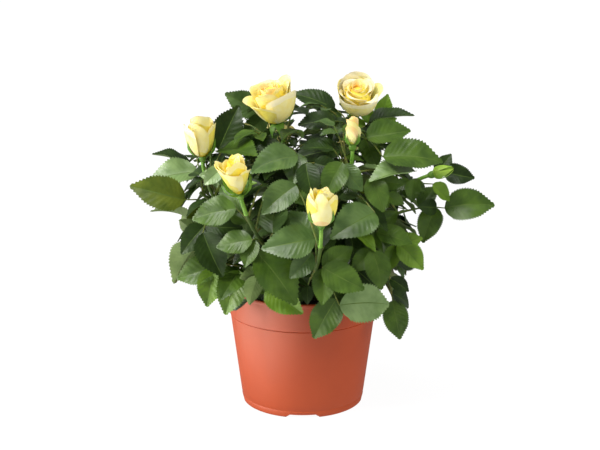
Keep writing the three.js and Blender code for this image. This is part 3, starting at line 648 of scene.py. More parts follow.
def shell_place(number, count, share):
    up = 1 - (2 * (number + 0.5)) / count
    angle = math.radians(number * SHELL_TURN)
    flat = math.sqrt(1 - up * up)
    way = np.array([flat * math.cos(angle), flat * math.sin(angle), up])
    return CROWN_CENTRE + way * share / crown_sum(way) ** (1 / CROWN_ROUNDNESS)


def fill_place(place, random, sizes):
    blade = mix(*sizes, next(random))
    sway = mix(*LEAF_SWAY, next(random))
    normal = unit(toward(CROWN_HEART, place) + UP * mix(*LEAF_LIFT, next(random)))
    for number in np.argsort(shoot_distances(place), kind="stable")[:NEAR_SHOOTS]:
        forward = square(toward(SHOOT_LIST[number].middle, place), normal)
        for turn in LEAF_TURNS:
            heading = turned(forward, normal, math.radians(turn + sway))
            tip = place + heading * blade / 2
            if tip[2] <= LOWEST_TIP or not in_own_space(tip, number):
                continue
            leaf = grow_leaf(number, place - heading * blade / 2, tip, normal)
            if leaf:
                leaf.add_pairs(lambda pair: within_crown(pair.tip) and in_own_space(pair.tip, number))
                leaf.settle()
                return


def fill_shells(shells, sizes, seed):
    random = make_random(seed)
    for share, count in shells:
        for number in range(count):
            place = shell_place(number, count, share)
            if place[2] > CROWN_LOWEST:
                fill_place(place, random, sizes)


def face_turned(face):
    return UP * (1 - abs(face)) + FRONT * face


def grow_show_leaves():
    for name, tones, end, *tips in SHOW_LEAVES:
        number = [shoot.name for shoot in SHOOT_LIST].index(name)
        end = np.array(end, dtype=float)
        first, *others = [(np.array(tip, dtype=float), face_turned(face)) for *tip, face in tips]
        leaf = grow_leaf(number, end, *first)
        leaf.tones = tones.split()
        for tip, facing in others:
            hand = int(math.copysign(1, leaf.leaflets[0].across @ toward(end, tip)))
            leaflet = Leaflet(leaf.pair_base(0, hand), tip, facing)
            if blade_is_free(leaflet):
                leaf.taken.add((0, hand))
                leaf.leaflets.append(leaflet)
        leaf.settle()
    for leaf in leaves:
        leaf.add_pairs(lambda leaflet: leaflet.tip[2] > LOWEST_TIP)


leaves = []
for stem in STEMS:
    add_limb(bezier(stem, np.linspace(0, 1, 6)), STEM_RADIUS[0] + STEM_ROOM, -1)
for shoot in SHOOT_LIST:
    add_limb(shoot.bough, BOUGH_RADIUS[0], -1)
for number, shoot in enumerate(SHOOT_LIST):
    add_limb(shoot.points, SHOOT_RADIUS[0], number)
grow_show_leaves()
fill_shells(LEAF_SHELLS, END_LEAFLET, SHELL_SEED)
fill_shells(YOUNG_SHELLS, YOUNG_LEAFLET, YOUNG_SEED)

# The frame holds the pot's axis, and everything is placed from it
pot_low, pot_high = (np.array(corner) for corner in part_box("pot"))
AXIS = np.array([(pot_low[0] + pot_high[0]) / 2, (pot_low[1] + pot_high[1]) / 2, 0.0])

# Sine waves that are added up for uneven ground and bark, and how high their sum gets
WAVE_COUNT = 6
WAVE_PEAK = 1.5
WAVE_STRETCH = (0.7, 1.4)


def waves(points, pitch, seed):
    """A smooth uneven height from -1 to 1 over points in millimetres, with bumps about a pitch apart."""
    random = np.random.default_rng(seed)
    total = np.zeros(points.shape[:-1])
    for _ in range(WAVE_COUNT):
        way = random.normal(size=points.shape[-1])
        way *= random.uniform(*WAVE_STRETCH) / np.linalg.norm(way)
        total += np.sin(points @ way * math.tau / pitch + random.uniform(0, math.tau))
    return total / math.sqrt(WAVE_COUNT) / WAVE_PEAK


# Meshes from arrays


class Heap:
    """The points and faces of one piece in millimetres, gathered part by part."""

    def __init__(self):
        self.points = []
        self.faces = []
        self.slots = []
        self.count = 0

    def add(self, points, faces, slots=0):
        """Faces come as arrays of three or four corners a row, with one slot for each array or for all."""
        slots = slots if isinstance(slots, (list, tuple)) else [slots] * len(faces)
        for rows, slot in zip(faces, slots):
            self.faces.append(rows + self.count)
            self.slots.append(np.broadcast_to(slot, len(rows)))
        self.points.append(points)
        self.count += len(points)


def add_object(name, data):
    made = bpy.data.objects.new(name, data)
    bpy.context.scene.collection.objects.link(made)
    return made


def heap_mesh(name, heap):
    """A mesh of all that a heap holds, placed in the frame."""
    mesh = bpy.data.meshes.new(name)
    points = np.vstack(heap.points) * MM + AXIS
    corners = np.concatenate([rows.ravel() for rows in heap.faces])
    sizes = np.concatenate([np.full(len(rows), rows.shape[1]) for rows in heap.faces])
    mesh.vertices.add(len(points))
    mesh.vertices.foreach_set("co", points.astype(np.float32).ravel())
    mesh.loops.add(len(corners))
    mesh.loops.foreach_set("vertex_index", corners.astype(np.int32))
    mesh.polygons.add(len(sizes))
    mesh.polygons.foreach_set("loop_start", (np.cumsum(sizes) - sizes).astype(np.int32))
    mesh.polygons.foreach_set("material_index", np.concatenate(heap.slots).astype(np.int32))
    mesh.update(calc_edges=True)
    return mesh


def make_piece(name, heap, materials, node, crease=50):
    """One object of a heap, riding on the plant's body in place of its node."""
    mesh = heap_mesh(name, heap)
    for material in materials:
        mesh.materials.append(material)
    mesh.shade_smooth()
    mesh.set_sharp_from_angle(angle=math.radians(crease))
    piece = add_object(name, mesh)
    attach(piece, "root")
    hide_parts(node)
    return piece


def through(points, steps):
    """A smooth line through points, with a number of steps between each two."""
    points = np.asarray(points, dtype=float)
    ends = np.vstack([2 * points[0] - points[1], points, 2 * points[-1] - points[-2]])
    shares = np.arange(steps)[:, None] / steps
    rows = []
    for before, start, end, after in zip(ends, ends[1:], ends[2:], ends[3:]):
        rows.append(0.5 * (2 * start + (end - before) * shares
                           + (2 * before - 5 * start + 4 * end - after) * shares ** 2
                           + (3 * start - before - 3 * end + after) * shares ** 3))
    return np.vstack([*rows, points[-1:]])


def closed_faces(rings, sides):
    """Faces of a closed skin over rings of points, with one more point in the middle of each end."""
    side = np.arange(sides)
    after = (side + 1) % sides
    starts = np.arange(rings - 1)[:, None] * sides
    skin = np.stack([starts + side, starts + after, starts + sides + after, starts + sides + side], axis=-1)
    last = (rings - 1) * sides
    foot, tip = np.full(sides, rings * sides), np.full(sides, rings * sides + 1)
    caps = [np.stack([foot, after, side], axis=-1), np.stack([tip, last + side, last + after], axis=-1)]
    return [skin.reshape(-1, 4), *caps]


def tube(points, radii, sides):
    """Points and faces of a round limb with a cap at each end; radii is one row or (points, sides)."""
    headings = np.gradient(points, axis=0)
    headings /= np.linalg.norm(headings, axis=1)[:, None]
    angles = np.arange(sides)[:, None] * math.tau / sides
    radii = np.broadcast_to(np.reshape(radii, (len(points), -1)), (len(points), sides))
    across = square(RIGHT if abs(headings[0][2]) > 0.9 else UP, headings[0])
    rings = []
    for point, heading, radius in zip(points, headings, radii):
        across = square(across, heading)
        third = np.cross(heading, across)
        rings.append(point + radius[:, None] * (np.cos(angles) * across + np.sin(angles) * third))
    return np.vstack([*rings, points[:1], points[-1:]]), closed_faces(len(points), sides)


# Leaf blades

LEAF_TEETH = 16
TOOTH_DEPTH = 0.028
TOOTH_LEAN = 0.4
FIRST_TOOTH = 0.13
LAST_TOOTH = 0.975
PLAIN_ROWS = (0.03, 0.07)
BLADE_EDGES = np.array([-1, -0.7, -0.36, -0.024, 0.024, 0.36, 0.7, 1])
CHEVRON = 0.75
TIP_TAPER = 0.3
VEIN_DEPTH = 0.16
VEIN_ROWS = 4
RIB_DEPTH = 0.3
BLADE_THICKNESS = 0.35
FULL_BLADE = 32
BLADE_CURL = (-0.01, 0.085)
BLADE_CUPPING = (-0.1, 0.22)
BLADE_RIPPLE = (0.4, 1.5)
BLADE_SWAY = (-0.04, 0.04)
CURL_START = 0.3
CURL_GAIN = 2.2
# The grey tone is partly a pale grey-green leaf colour and partly painted sheen, a lighter colour in place
# of the whitish reflection on glossy leaves
LEAF_TONES = ("dark", "mid", "bright", "olive", "grey", "sage")
RIB_SLOT = len(LEAF_TONES)
UNDER_SLOT = RIB_SLOT + 1


def chevron(share, edge):
    """Where a row that crosses the rib at a share of the length reaches out to, slanting with the veins."""
    return share + CHEVRON * np.abs(edge) * half_width(share) * (1 - share ** 3)


def blade_template():
    """The shares along and across a blade, its relief in millimetres, and which rows end in a tooth."""
    pitch = (LAST_TOOTH - FIRST_TOOTH) / LEAF_TEETH
    starts = FIRST_TOOTH + np.arange(LEAF_TEETH) * pitch
    outer = np.concatenate([PLAIN_ROWS, np.stack([starts, starts + pitch / 2], axis=1).ravel()])
    teeth = np.concatenate([np.zeros(len(PLAIN_ROWS), bool), np.tile([False, True], LEAF_TEETH)])
    table = np.linspace(0, 1, 4001)
    rows = np.interp(outer, chevron(table, 1), table)
    share = chevron(rows[:, None], BLADE_EDGES)
    margin = np.abs(BLADE_EDGES) == 1
    share = np.minimum(np.where(margin & teeth[:, None], share + TOOTH_LEAN * pitch, share), 0.992)
    width = half_width(share) * (1 - TIP_TAPER * np.clip((share - 0.7) / 0.3, 0, 1))
    side = BLADE_EDGES * width
    side += np.sign(BLADE_EDGES) * margin * np.where(teeth, TOOTH_DEPTH, -0.2 * TOOTH_DEPTH)[:, None]
    turn = np.arange(len(rows)) - len(PLAIN_ROWS)
    veins = -np.sin(math.tau * turn / VEIN_ROWS)
    across = np.array([0, 1, 0.75, 0, 0, 0.75, 1, 0])
    relief = VEIN_DEPTH * veins[:, None] * across * np.sin(math.pi * np.clip(rows, 0, 1))[:, None] ** 0.5
    relief[:, [3, 4]] = -RIB_DEPTH
    return share, side, relief, teeth


BLADE_SHARE, BLADE_SIDE, BLADE_RELIEF, BLADE_TOOTHED = blade_template()


def blade_faces():
    """Triangles of one blade: the upper side, its rib, and the under side, which shares the outline."""
    rows, columns = BLADE_SHARE.shape
    top = np.arange(rows * columns).reshape(rows, columns)
    base, tip = rows * columns, rows * columns + 1
    under = top.copy()
    under[:, 1:-1] = np.arange(rows * (columns - 2)).reshape(rows, -1) + rows * columns + 2
    rib = columns // 2 - 1

    def strip(grid, column):
        """Triangles between two columns, from base to tip, cut so that each tooth is one slant."""
        near, far = grid[:-1, column], grid[1:, column]
        near_next, far_next = grid[:-1, column + 1], grid[1:, column + 1]
        slant = BLADE_TOOTHED[:-1] == (column > rib)
        return np.vstack([
            np.stack([near, far, np.where(slant, far_next, near_next)], axis=1),
            np.stack([np.where(slant, near, far), far_next, near_next], axis=1),
            [(base, near[0], near_next[0]), (tip, far_next[-1], far[-1])],
        ])

    upper = [strip(top, column) for column in range(columns - 1)]
    lower = [strip(under, column) for column in range(columns - 1)]
    return [np.vstack(upper[:rib] + upper[rib + 1:]), upper[rib], np.vstack(lower)[:, ::-1]]


BLADE_FACES = blade_faces()


def blade_points(leaflet, random):
    """The points of one blade with its own ripple, fold, curl and sway."""
    length = leaflet.length
    share, side = BLADE_SHARE, BLADE_SIDE
    size = min(1, length / FULL_BLADE)
    curl = random.uniform(*BLADE_CURL)
    fold = random.uniform(*BLADE_CUPPING)
    ripple = random.uniform(*BLADE_RIPPLE) * size
    phase = random.uniform(0, math.tau, 2)[(side > 0).astype(int)]
    sway = random.uniform(*BLADE_SWAY)
    edge = np.abs(side) / (LEAF_WIDTH / 2)
    rise = blade_rise(share, side) * length + fold * np.abs(side) * length
    rise -= curl * length * np.clip(share - CURL_START, 0, 1) ** 2 * CURL_GAIN
    rise += ripple * edge ** 2 * np.sin(math.tau * 1.6 * share + phase)
    rise += BLADE_RELIEF * size
    bent = side + sway * np.sin(math.pi * share)

    def place(rise):
        away = share[..., None] * leaflet.lengthwise + bent[..., None] * leaflet.across
        return leaflet.base + away * length + rise[..., None] * leaflet.normal

    top = place(rise)
    under = place(rise - BLADE_THICKNESS)[:, 1:-1]
    tip = leaflet.tip - leaflet.normal * curl * length * (1 - CURL_START) ** 2 * CURL_GAIN
    return np.vstack([top.reshape(-1, 3), leaflet.base[None], tip[None], under.reshape(-1, 3)])


def add_blades(heap, leaf, tones, random):
    for i, leaflet in enumerate(leaf.leaflets):
        tone = LEAF_TONES.index(tones[min(i, len(tones) - 1)])
        heap.add(blade_points(leaflet, random), BLADE_FACES, [tone, RIB_SLOT, UNDER_SLOT])


# Twigs

RACHIS_SIDES = 6
RACHIS_TAPER = (0.75, 0.42)
RACHIS_FOOT = 0.5
SHOOT_SIDES = 9
SHOOT_PIECES = 40
STALK_LENGTH = 16
STALK_SWELL = 1.12
STALK_KNOT = 1.25


def rachis_route(leaf):
    """A smooth line through the rachis and the places of its pairs."""
    pairs = [on_line(leaf.line, place) for place in (PAIR_PLACES[1], 0.5, PAIR_PLACES[0])]
    return through([leaf.line[0], *pairs, leaf.line[2]], 3)


def add_rachis(heap, leaf):
    route = rachis_route(leaf)
    shares = np.linspace(0, 1, len(route))
    radii = mix(*RACHIS_TAPER, shares) + RACHIS_FOOT * np.exp(-shares * 14)
    heap.add(*tube(route, radii, RACHIS_SIDES), 1)


def add_shoot(heap, shoot):
    """The shoot's bark, and the bright green stalk that carries its bloom."""
    points = bezier(shoot.corners, np.linspace(shoot.start, 1, SHOOT_PIECES))
    shares = np.linspace(0, 1, SHOOT_PIECES)
    radii = mix(*SHOOT_RADIUS, shares) * (1 + 0.05 * waves(points, 9, 3))
    stalk = np.linalg.norm(points - shoot.end, axis=1) < (STALK_LENGTH if shoot.bloom else 0)
    first = SHOOT_PIECES - max(int(stalk.sum()), 1)
    heap.add(*tube(points[:first + 1], radii[:first + 1], SHOOT_SIDES), 0)
    if shoot.bloom:
        radii[first] *= STALK_KNOT
        heap.add(*tube(points[first:], radii[first:] * STALK_SWELL, SHOOT_SIDES), 2)


# Materials

PATCH_EDGES = (0.35, 0.65)


def set_sockets(node, values):
    for name, value in values.items():
        node.inputs[name].default_value = value


def material(name, dark, light, roughness, shine, grain, bump=0.15, relief=None, glow=0.0):
    """A surface of two near colours in soft patches, finely bumped; grain and relief are scales of noise."""
    made = bpy.data.materials.new(name)
    made.use_nodes = True
    nodes, links = made.node_tree.nodes, made.node_tree.links
    place = nodes.new("ShaderNodeTexCoord").outputs["Object"]
    patches, fine = nodes.new("ShaderNodeTexNoise"), nodes.new("ShaderNodeTexNoise")
    set_sockets(patches, {"Scale": grain, "Detail": 4})
    set_sockets(fine, {"Scale": relief or grain * 6, "Detail": 3})
    ramp = nodes.new("ShaderNodeValToRGB")
    for element, position, colour in zip(ramp.color_ramp.elements, PATCH_EDGES, (dark, light)):
        element.position, element.color = position, (*colour, 1)
    uneven = nodes.new("ShaderNodeBump")
    set_sockets(uneven, {"Strength": bump, "Distance": 0.0004})
    shader = nodes["Principled BSDF"]
    set_sockets(shader, {"Roughness": roughness, "Specular IOR Level": shine, "Subsurface Weight": glow,
                         "Subsurface Scale": 0.003, "Subsurface Radius": (1.0, 0.8, 0.35)})
    links.new(place, patches.inputs["Vector"])
    links.new(place, fine.inputs["Vector"])
    links.new(patches.outputs["Fac"], ramp.inputs["Fac"])
    links.new(ramp.outputs["Color"], shader.inputs["Base Color"])
    links.new(fine.outputs["Fac"], uneven.inputs["Height"])
    links.new(uneven.outputs["Normal"], shader.inputs["Normal"])
    return made


def shade(colour):
    """A screen colour from 0 to 255 as the shader's own linear one."""
    shares = [value / 255 for value in colour]
    return tuple(share / 12.92 if share < 0.0405 else ((share + 0.055) / 1.055) ** 2.4 for share in shares)


def materials(*rows):
    """Materials from rows of a name, two screen colours and the rest of what a material takes."""
    return [material(name, shade(dark), shade(light), *rest) for name, dark, light, *rest in rows]


LEAF_MATERIALS = materials(
    ("leaf_dark", (28, 46, 12), (44, 66, 20), 0.4, 0.28, 90),
    ("leaf_mid", (54, 80, 20), (74, 102, 28), 0.38, 0.4, 90),
    ("leaf_bright", (80, 114, 22), (104, 136, 36), 0.4, 0.4, 90),
    ("leaf_olive", (66, 84, 18), (94, 108, 30), 0.42, 0.3, 90),
    # Partly a pale grey-green leaf colour, partly painted sheen: its lighter colour stands in for the
    # whitish reflection on glossy leaves
    ("leaf_grey", (98, 126, 68), (126, 152, 92), 0.35, 0.55, 90),
    ("leaf_sage", (58, 84, 34), (82, 108, 52), 0.36, 0.5, 90),
    ("leaf_rib", (72, 96, 36), (90, 112, 46), 0.5, 0.3, 200),
    ("leaf_under", (98, 120, 64), (118, 138, 80), 0.6, 0.25, 120),
)
TWIG_MATERIALS = materials(
    ("shoot_bark", (64, 92, 32), (90, 108, 44), 0.5, 0.35, 160, 0.3),
    ("leaf_stalk", (76, 104, 36), (112, 112, 50), 0.5, 0.35, 220, 0.2),
    ("bloom_stalk", (96, 148, 40), (124, 168, 60), 0.45, 0.4, 180),
)
BARK, POT_PLASTIC = materials(
    ("bark", (64, 58, 36), (104, 94, 58), 0.75, 0.3, 260, 0.7, 1400),
    ("pot_plastic", (172, 62, 4), (182, 68, 8), 0.5, 0.65, 14, 0.1, 2600),
)
SOIL_MATERIALS = materials(
    ("peat", (20, 15, 11), (46, 35, 25), 0.95, 0.5, 500, 1.0, 2500),
    ("peat_fibre", (58, 44, 30), (84, 64, 42), 0.9, 0.5, 500, 0.6, 2500),
)
PETAL_TONES = {
    "pale": ((249, 236, 182), (252, 242, 200)),
    "cream": ((249, 232, 142), (252, 240, 168)),
    "yellow": ((249, 226, 84), (252, 234, 110)),
    "gold": ((238, 194, 22), (246, 208, 46)),
    "peach": ((250, 210, 134), (253, 221, 158)),
    "orange": ((247, 168, 66), (251, 190, 94)),
    "lime": ((240, 236, 150), (247, 245, 172)),
}
PETAL_MATERIALS = materials(*(
    (f"petal_{name}", *colours, 0.55, 0.3, 160, 0.1, 900, 0.25) for name, colours in PETAL_TONES.items()
))
CALYX_MATERIALS = materials(
    ("sepal", (80, 126, 34), (112, 152, 52), 0.5, 0.35, 200, 0.2),
    ("bud_green", (122, 164, 44), (152, 186, 66), 0.5, 0.35, 200),
)

# Pot and soil

POT_SIDES = 180
POT_CREASE = 32
DRAIN_SIDES = 32
FOOT_CORNER = 1.5
GROOVE_HEIGHT = 5.5
GROOVE_DEPTH = 0.2


def turned_points(profile, sides):
    angles = np.arange(sides) * math.tau / sides
    rings = [np.stack([radius * np.cos(angles), radius * np.sin(angles), np.full(sides, z)], axis=1)
             for radius, z in profile]
    return np.vstack([*rings, [[0, 0, profile[0][1]]], [[0, 0, profile[-1][1]]]])


def arc(centre, radius, start, end, steps):
    angles = np.radians(np.linspace(start, end, steps))
    return [(centre[0] + radius * math.cos(a), centre[1] + radius * math.sin(a)) for a in angles]


def pot_profile():
    """From the middle of the floor's underside, out and up the wall, over the rim and down to the floor."""
    floor_top = FLOOR_RISE + FLOOR_THICKNESS
    ring_outer = FOOT_RADIUS - FOOT_CORNER * 0.7
    ring_inner = ring_outer - FOOT_RING_WIDTH
    step = wall_radius(STEP_HEIGHT)
    collar = STEP_RADIUS + COLLAR_PROUD
    groove = wall_radius(GROOVE_HEIGHT)
    inner_rim = RIM_RADIUS - LIP_WIDTH
    lip = POT_HEIGHT - LIP_HEIGHT
    rise = np.linspace(0, 1, 5)
    return [
        (8, FLOOR_RISE), (ring_inner - 1, FLOOR_RISE), (ring_inner, 0.3), (ring_inner + 0.3, 0),
        (ring_outer - 0.5, 0), *arc((wall_radius(FOOT_CORNER) - 1.2, 1.4), 1.2, -70, -10, 4),
        (groove - 0.02, GROOVE_HEIGHT - 0.7), (groove - GROOVE_DEPTH, GROOVE_HEIGHT - 0.2),
        (groove - GROOVE_DEPTH, GROOVE_HEIGHT + 0.2), (groove + 0.02, GROOVE_HEIGHT + 0.7),
        *[(wall_radius(z), z) for z in np.linspace(12, STEP_HEIGHT - 4, 9)],
        (wall_radius(STEP_HEIGHT - 1.2), STEP_HEIGHT - 1.4), (step - 0.55, STEP_HEIGHT - 0.9),
        (step - 0.55, STEP_HEIGHT - 0.35), *arc((step + 0.05, STEP_HEIGHT + 0.1), 0.65, -60, 0, 4),
        *zip(mix(collar, RIM_RADIUS - 0.4, rise), mix(STEP_HEIGHT + 1.5, lip - 0.7, rise)),
        (RIM_RADIUS - 0.35, lip - 0.2), (RIM_RADIUS - 0.05, lip + 0.3), (RIM_RADIUS, lip + 0.7),
        *arc((RIM_RADIUS - 0.8, POT_HEIGHT - 0.8), 0.8, 0, 90, 5),
        *arc((inner_rim + 0.8, POT_HEIGHT - 0.8), 0.8, 90, 170, 4),
        (inner_rim, lip), (collar - WALL, STEP_HEIGHT),
        (wall_radius(STEP_HEIGHT - 3) - WALL, STEP_HEIGHT - 3), (wall_radius(floor_top) - WALL, floor_top),
        (8, floor_top),
    ]


def notch_height(points):
    """How far the foot is cut away under each point, round four notches with slanted ends."""
    turns = np.arange(NOTCH_COUNT) * math.tau / NOTCH_COUNT
    x = points[:, :1] * np.cos(turns) + points[:, 1:2] * np.sin(turns)
    y = -points[:, :1] * np.sin(turns) + points[:, 1:2] * np.cos(turns)
    cut = np.clip((NOTCH_WIDTH / 2 - np.abs(x)) / 0.7, 0, NOTCH_HEIGHT)
    return np.where(y < 0, cut, 0).max(axis=1)


def apply_boolean(piece, cutter):
    """Cuts one object out of another for good, and removes the cutter."""
    cut = piece.modifiers.new("cut", "BOOLEAN")
    cut.operation = "DIFFERENCE"
    cut.solver = "EXACT"
    cut.object = cutter
    bpy.context.view_layer.update()
    graph = bpy.context.evaluated_depsgraph_get()
    mesh = bpy.data.meshes.new_from_object(piece.evaluated_get(graph))
    piece.modifiers.clear()
    piece.data = mesh
    bpy.data.objects.remove(cutter)


def make_pot():
    profile = pot_profile()
    points = turned_points(profile, POT_SIDES)
    in_foot = points[:, 2] < FLOOR_RISE
    outside = np.hypot(points[:, 0], points[:, 1]) > FOOT_RADIUS - 6
    raised = np.maximum(points[:, 2], np.minimum(notch_height(points), FLOOR_RISE - 0.1))
    points[:, 2] = np.where(in_foot & outside, raised, points[:, 2])
    pot = Heap()
    pot.add(points, closed_faces(len(profile), POT_SIDES))
    piece = make_piece("pot_body", pot, [POT_PLASTIC], "pot", crease=POT_CREASE)
    drains = Heap()
    drain = turned_points([(DRAIN_RADIUS, FLOOR_RISE - 2), (DRAIN_RADIUS, FLOOR_RISE + 4)], DRAIN_SIDES)
    for i in range(DRAIN_COUNT):
        angle = (i + 0.5) / DRAIN_COUNT * math.tau
        shift = [DRAIN_CIRCLE * math.cos(angle), DRAIN_CIRCLE * math.sin(angle), 0]
        drains.add(drain + shift, closed_faces(2, DRAIN_SIDES))
    apply_boolean(piece, add_object("drain_cutter", heap_mesh("drain_cutter", drains)))
    piece.data.set_sharp_from_angle(angle=math.radians(POT_CREASE))


SOIL_CLEAR = 0.5
SOIL_SIDES = 96
SOIL_SETTLED = 0.4
# Pitch, seed and height of the waves of the soil's top
SOIL_BUMPS = ((26, 5, 1.2), (7, 6, 0.8), (2.6, 7, 0.5))
CRUMBS = 1500
CRUMB_SIZE = (1, 1, 0.7)
FIBRE_SIZE = (2.6, 0.35, 0.3)
FIBRE_SHARE = 0.12
CUBE = np.array([(x, y, z) for x in (-1, 1) for y in (-1, 1) for z in (-1, 1)], dtype=float)
CUBE_FACES = np.array([(0, 1, 3, 2), (4, 6, 7, 5), (0, 4, 5, 1), (2, 3, 7, 6), (0, 2, 6, 4), (1, 5, 7, 3)])


def make_soil():
    """A peat bed whose top is uneven, strewn with crumbs and bits of fibre."""
    random = np.random.default_rng(11)
    floor_top = FLOOR_RISE + FLOOR_THICKNESS
    low, high = (wall_radius(z) - WALL - SOIL_CLEAR for z in (floor_top, STEP_HEIGHT - 3))
    brim = STEP_RADIUS + COLLAR_PROUD - WALL - SOIL_CLEAR
    level = SOIL_TOP - SOIL_SETTLED
    profile = [
        (10, floor_top + 0.3), (low, floor_top + 0.3), (high, STEP_HEIGHT - 3), (brim, STEP_HEIGHT + 1),
        (brim, SOIL_TOP - 3), *[(radius, level) for radius in np.linspace(STEP_RADIUS - 5, 2, 34)],
    ]
    points = turned_points(profile, SOIL_SIDES)
    heaped = sum(waves(points[:, :2], pitch, seed) * height for pitch, seed, height in SOIL_BUMPS)
    top = points[:, 2] > SOIL_TOP - 2
    points[top, 2] += heaped[top] - SOIL_SETTLED
    bed = Heap()
    bed.add(points, closed_faces(len(profile), SOIL_SIDES))
    for _ in range(CRUMBS):
        radius = (STEP_RADIUS - 6) * math.sqrt(random.uniform())
        angle = random.uniform(0, math.tau)
        fibre = random.uniform() < FIBRE_SHARE
        size = np.array(FIBRE_SIZE) if fibre else random.uniform(0.5, 1.5) * np.array(CRUMB_SIZE)
        spin = random.uniform(0, math.tau)
        lump = CUBE * size * random.uniform(0.65, 1.1, CUBE.shape)
        cos, sin = math.cos(spin), math.sin(spin)
        turn = np.array([[cos, sin, 0], [-sin, cos, 0], [0, 0, 1]])
        place = np.array([radius * math.cos(angle), radius * math.sin(angle), level])
        bed.add(lump @ turn + place, [CUBE_FACES], int(fibre))
    make_piece("soil_bed", bed, SOIL_MATERIALS, "soil")


# Stems, whose feet stand in the peat, and boughs, whose ends hold the feet of their shoots

STEM_SUNK = 4
FLARE_SHARE = 0.3
FLARE_POWER = 1.5
BOUGH_OVERLAP = 0.012
BOUGH_FOOT_SHARE = 0.35
STEM_RINGS = 60
STEM_SIDES = 20
BOUGH_RINGS = 36
BOUGH_SIDES = 16
BARK_SEED_STEP = 7
BOUGH_SEED = 50

# Bark's ridges: coarse and fine height as shares of the radius, pitch, and how much closer the fine ones run
RIDGE_HEIGHTS = (0.09, 0.05)
RIDGE_PITCH = 2.2
FINE_RIDGES = 2.6
RIDGE_CIRCLE = 3
RIDGE_STRETCH = 0.35

# Old leaf scars along a limb
SCAR_GAP = 9
SCAR_SWELLING = 0.12
SCAR_LENGTH = 0.7

PRICKLE_GAP = 8
PRICKLE_START = 0.6
PRICKLE_STRAY = 0.3
PRICKLE_REACH = (1.4, 2.4)
PRICKLE_ROOT = 0.7
PRICKLE_SEED = 300
BARE_END = 2


def runs_along(points):
    """How far each point lies from the first, along the line."""
    return np.concatenate([[0], np.cumsum(np.linalg.norm(np.diff(points, axis=0), axis=1))])


def bark_radii(points, radii, sides, seed):
    """Radii round each ring, with ridges along the limb and a swelling at every old leaf scar."""
    angles = np.arange(sides) * math.tau / sides
    runs = runs_along(points)
    round_limb = RIDGE_CIRCLE * np.cos(angles), RIDGE_CIRCLE * np.sin(angles), runs[:, None] * RIDGE_STRETCH
    grid = np.stack(np.broadcast_arrays(*round_limb), axis=-1)
    coarse, fine = RIDGE_HEIGHTS
    fine_ridges = fine * waves(grid * FINE_RIDGES, RIDGE_PITCH, seed + 1)
    ridges = coarse * waves(grid, RIDGE_PITCH, seed) + fine_ridges
    scars = SCAR_SWELLING * np.exp(-((runs % SCAR_GAP - SCAR_GAP / 2) / SCAR_LENGTH) ** 2)
    return np.asarray(radii)[:, None] * (1 + ridges + scars[:, None])


# A prickle's points from its root: along the limb, out as a share of its reach, and across the limb
PRICKLE = np.array([
    (0.9, 0, 0), (0, 0, 0.45), (-0.9, 0, 0), (0, 0, -0.45),
    (0.15, 0.5, 0), (-0.25, 0.5, 0.2), (-0.65, 0.5, 0), (-0.25, 0.5, -0.2), (-0.9, 1, 0),
])
PRICKLE_FACES = [
    np.array([(4 + i, 4 + (i + 1) % 4, (i + 1) % 4, i) for i in range(4)]),
    np.array([(4 + i, 8, 4 + (i + 1) % 4) for i in range(4)]),
    np.array([[0, 1, 2, 3]]),
]


def add_prickles(heap, points, radii, random):
    """Small curved thorns that lean down the limb."""
    runs = runs_along(points)
    for run in np.arange(PRICKLE_GAP * PRICKLE_START, runs[-1] - BARE_END, PRICKLE_GAP):
        stray = random.uniform(-PRICKLE_STRAY, PRICKLE_STRAY)
        i = int(np.searchsorted(runs, run + stray * PRICKLE_GAP))
        i = min(max(i, 1), len(points) - 2)
        heading = toward(points[i - 1], points[i + 1])
        side = square(random.normal(size=3), heading)
        root = points[i] + side * radii[i] * PRICKLE_ROOT
        reach = random.uniform(*PRICKLE_REACH)
        heap.add(root + PRICKLE @ np.array([heading, side * reach, np.cross(heading, side)]), PRICKLE_FACES)


def make_stems():
    shares = np.linspace(0, 1, STEM_RINGS)
    flare = STEM_FLARE * np.clip(1 - shares / FLARE_SHARE, 0, 1) ** FLARE_POWER
    for number, stem in enumerate(STEMS):
        points = bezier(stem, shares)
        points[0] -= UP * STEM_SUNK
        radii = bark_radii(points, mix(*STEM_RADIUS, shares) + flare, STEM_SIDES, number * BARK_SEED_STEP)
        heap = Heap()
        heap.add(*tube(points, radii, STEM_SIDES))
        make_piece(f"stem_bark_{number + 1}", heap, [BARK], f"stem_{number + 1}")
    for number, shoot in enumerate(SHOOT_LIST):
        curve = bezier(shoot.corners, np.linspace(0, shoot.start + BOUGH_OVERLAP, BOUGH_RINGS))
        points = np.vstack([mix(shoot.foot, curve[0], BOUGH_FOOT_SHARE), curve])
        radii = np.concatenate([[BOUGH_RADIUS[0]], mix(*BOUGH_RADIUS, np.linspace(0, 1, BOUGH_RINGS))])
        bark = bark_radii(points, radii, BOUGH_SIDES, BOUGH_SEED + number * BARK_SEED_STEP)
        heap = Heap()
        heap.add(*tube(points, bark, BOUGH_SIDES))
        add_prickles(heap, points, radii, np.random.default_rng(PRICKLE_SEED + number))
        make_piece(f"bough_bark_{shoot.name}", heap, [BARK], f"bough_{shoot.name}")


# Blooms: thin closed petals, each wrapped round the bloom's axis

PETAL_ROWS = 13
PETAL_COLUMNS = 13
PETAL_THICKNESS = 0.4
TONE = {name: i for i, name in enumerate(PETAL_TONES)}
# Rows of a petal in its low, middle and high tone
BAND_ROWS = (4, 6, 2)
POINT_RISE = 0.05
POINT_WIDTH = 0.25
SHOULDER_POWER = 2.6
LIP_START = 0.66
LIP_LENGTH = 0.34
LIP_DROP = 0.75
PETAL_SIZES = (0.95, 1.05)
CURL_SHARES = (0.7, 1.3)
RADIUS_WAVES = 3.1
HEIGHT_WAVES = 4.3
LEAST_RADIUS = 0.25
FOOT_SPREAD = 0.72
BELLY_SPREAD = 0.28
BELLY_RISE = 0.8


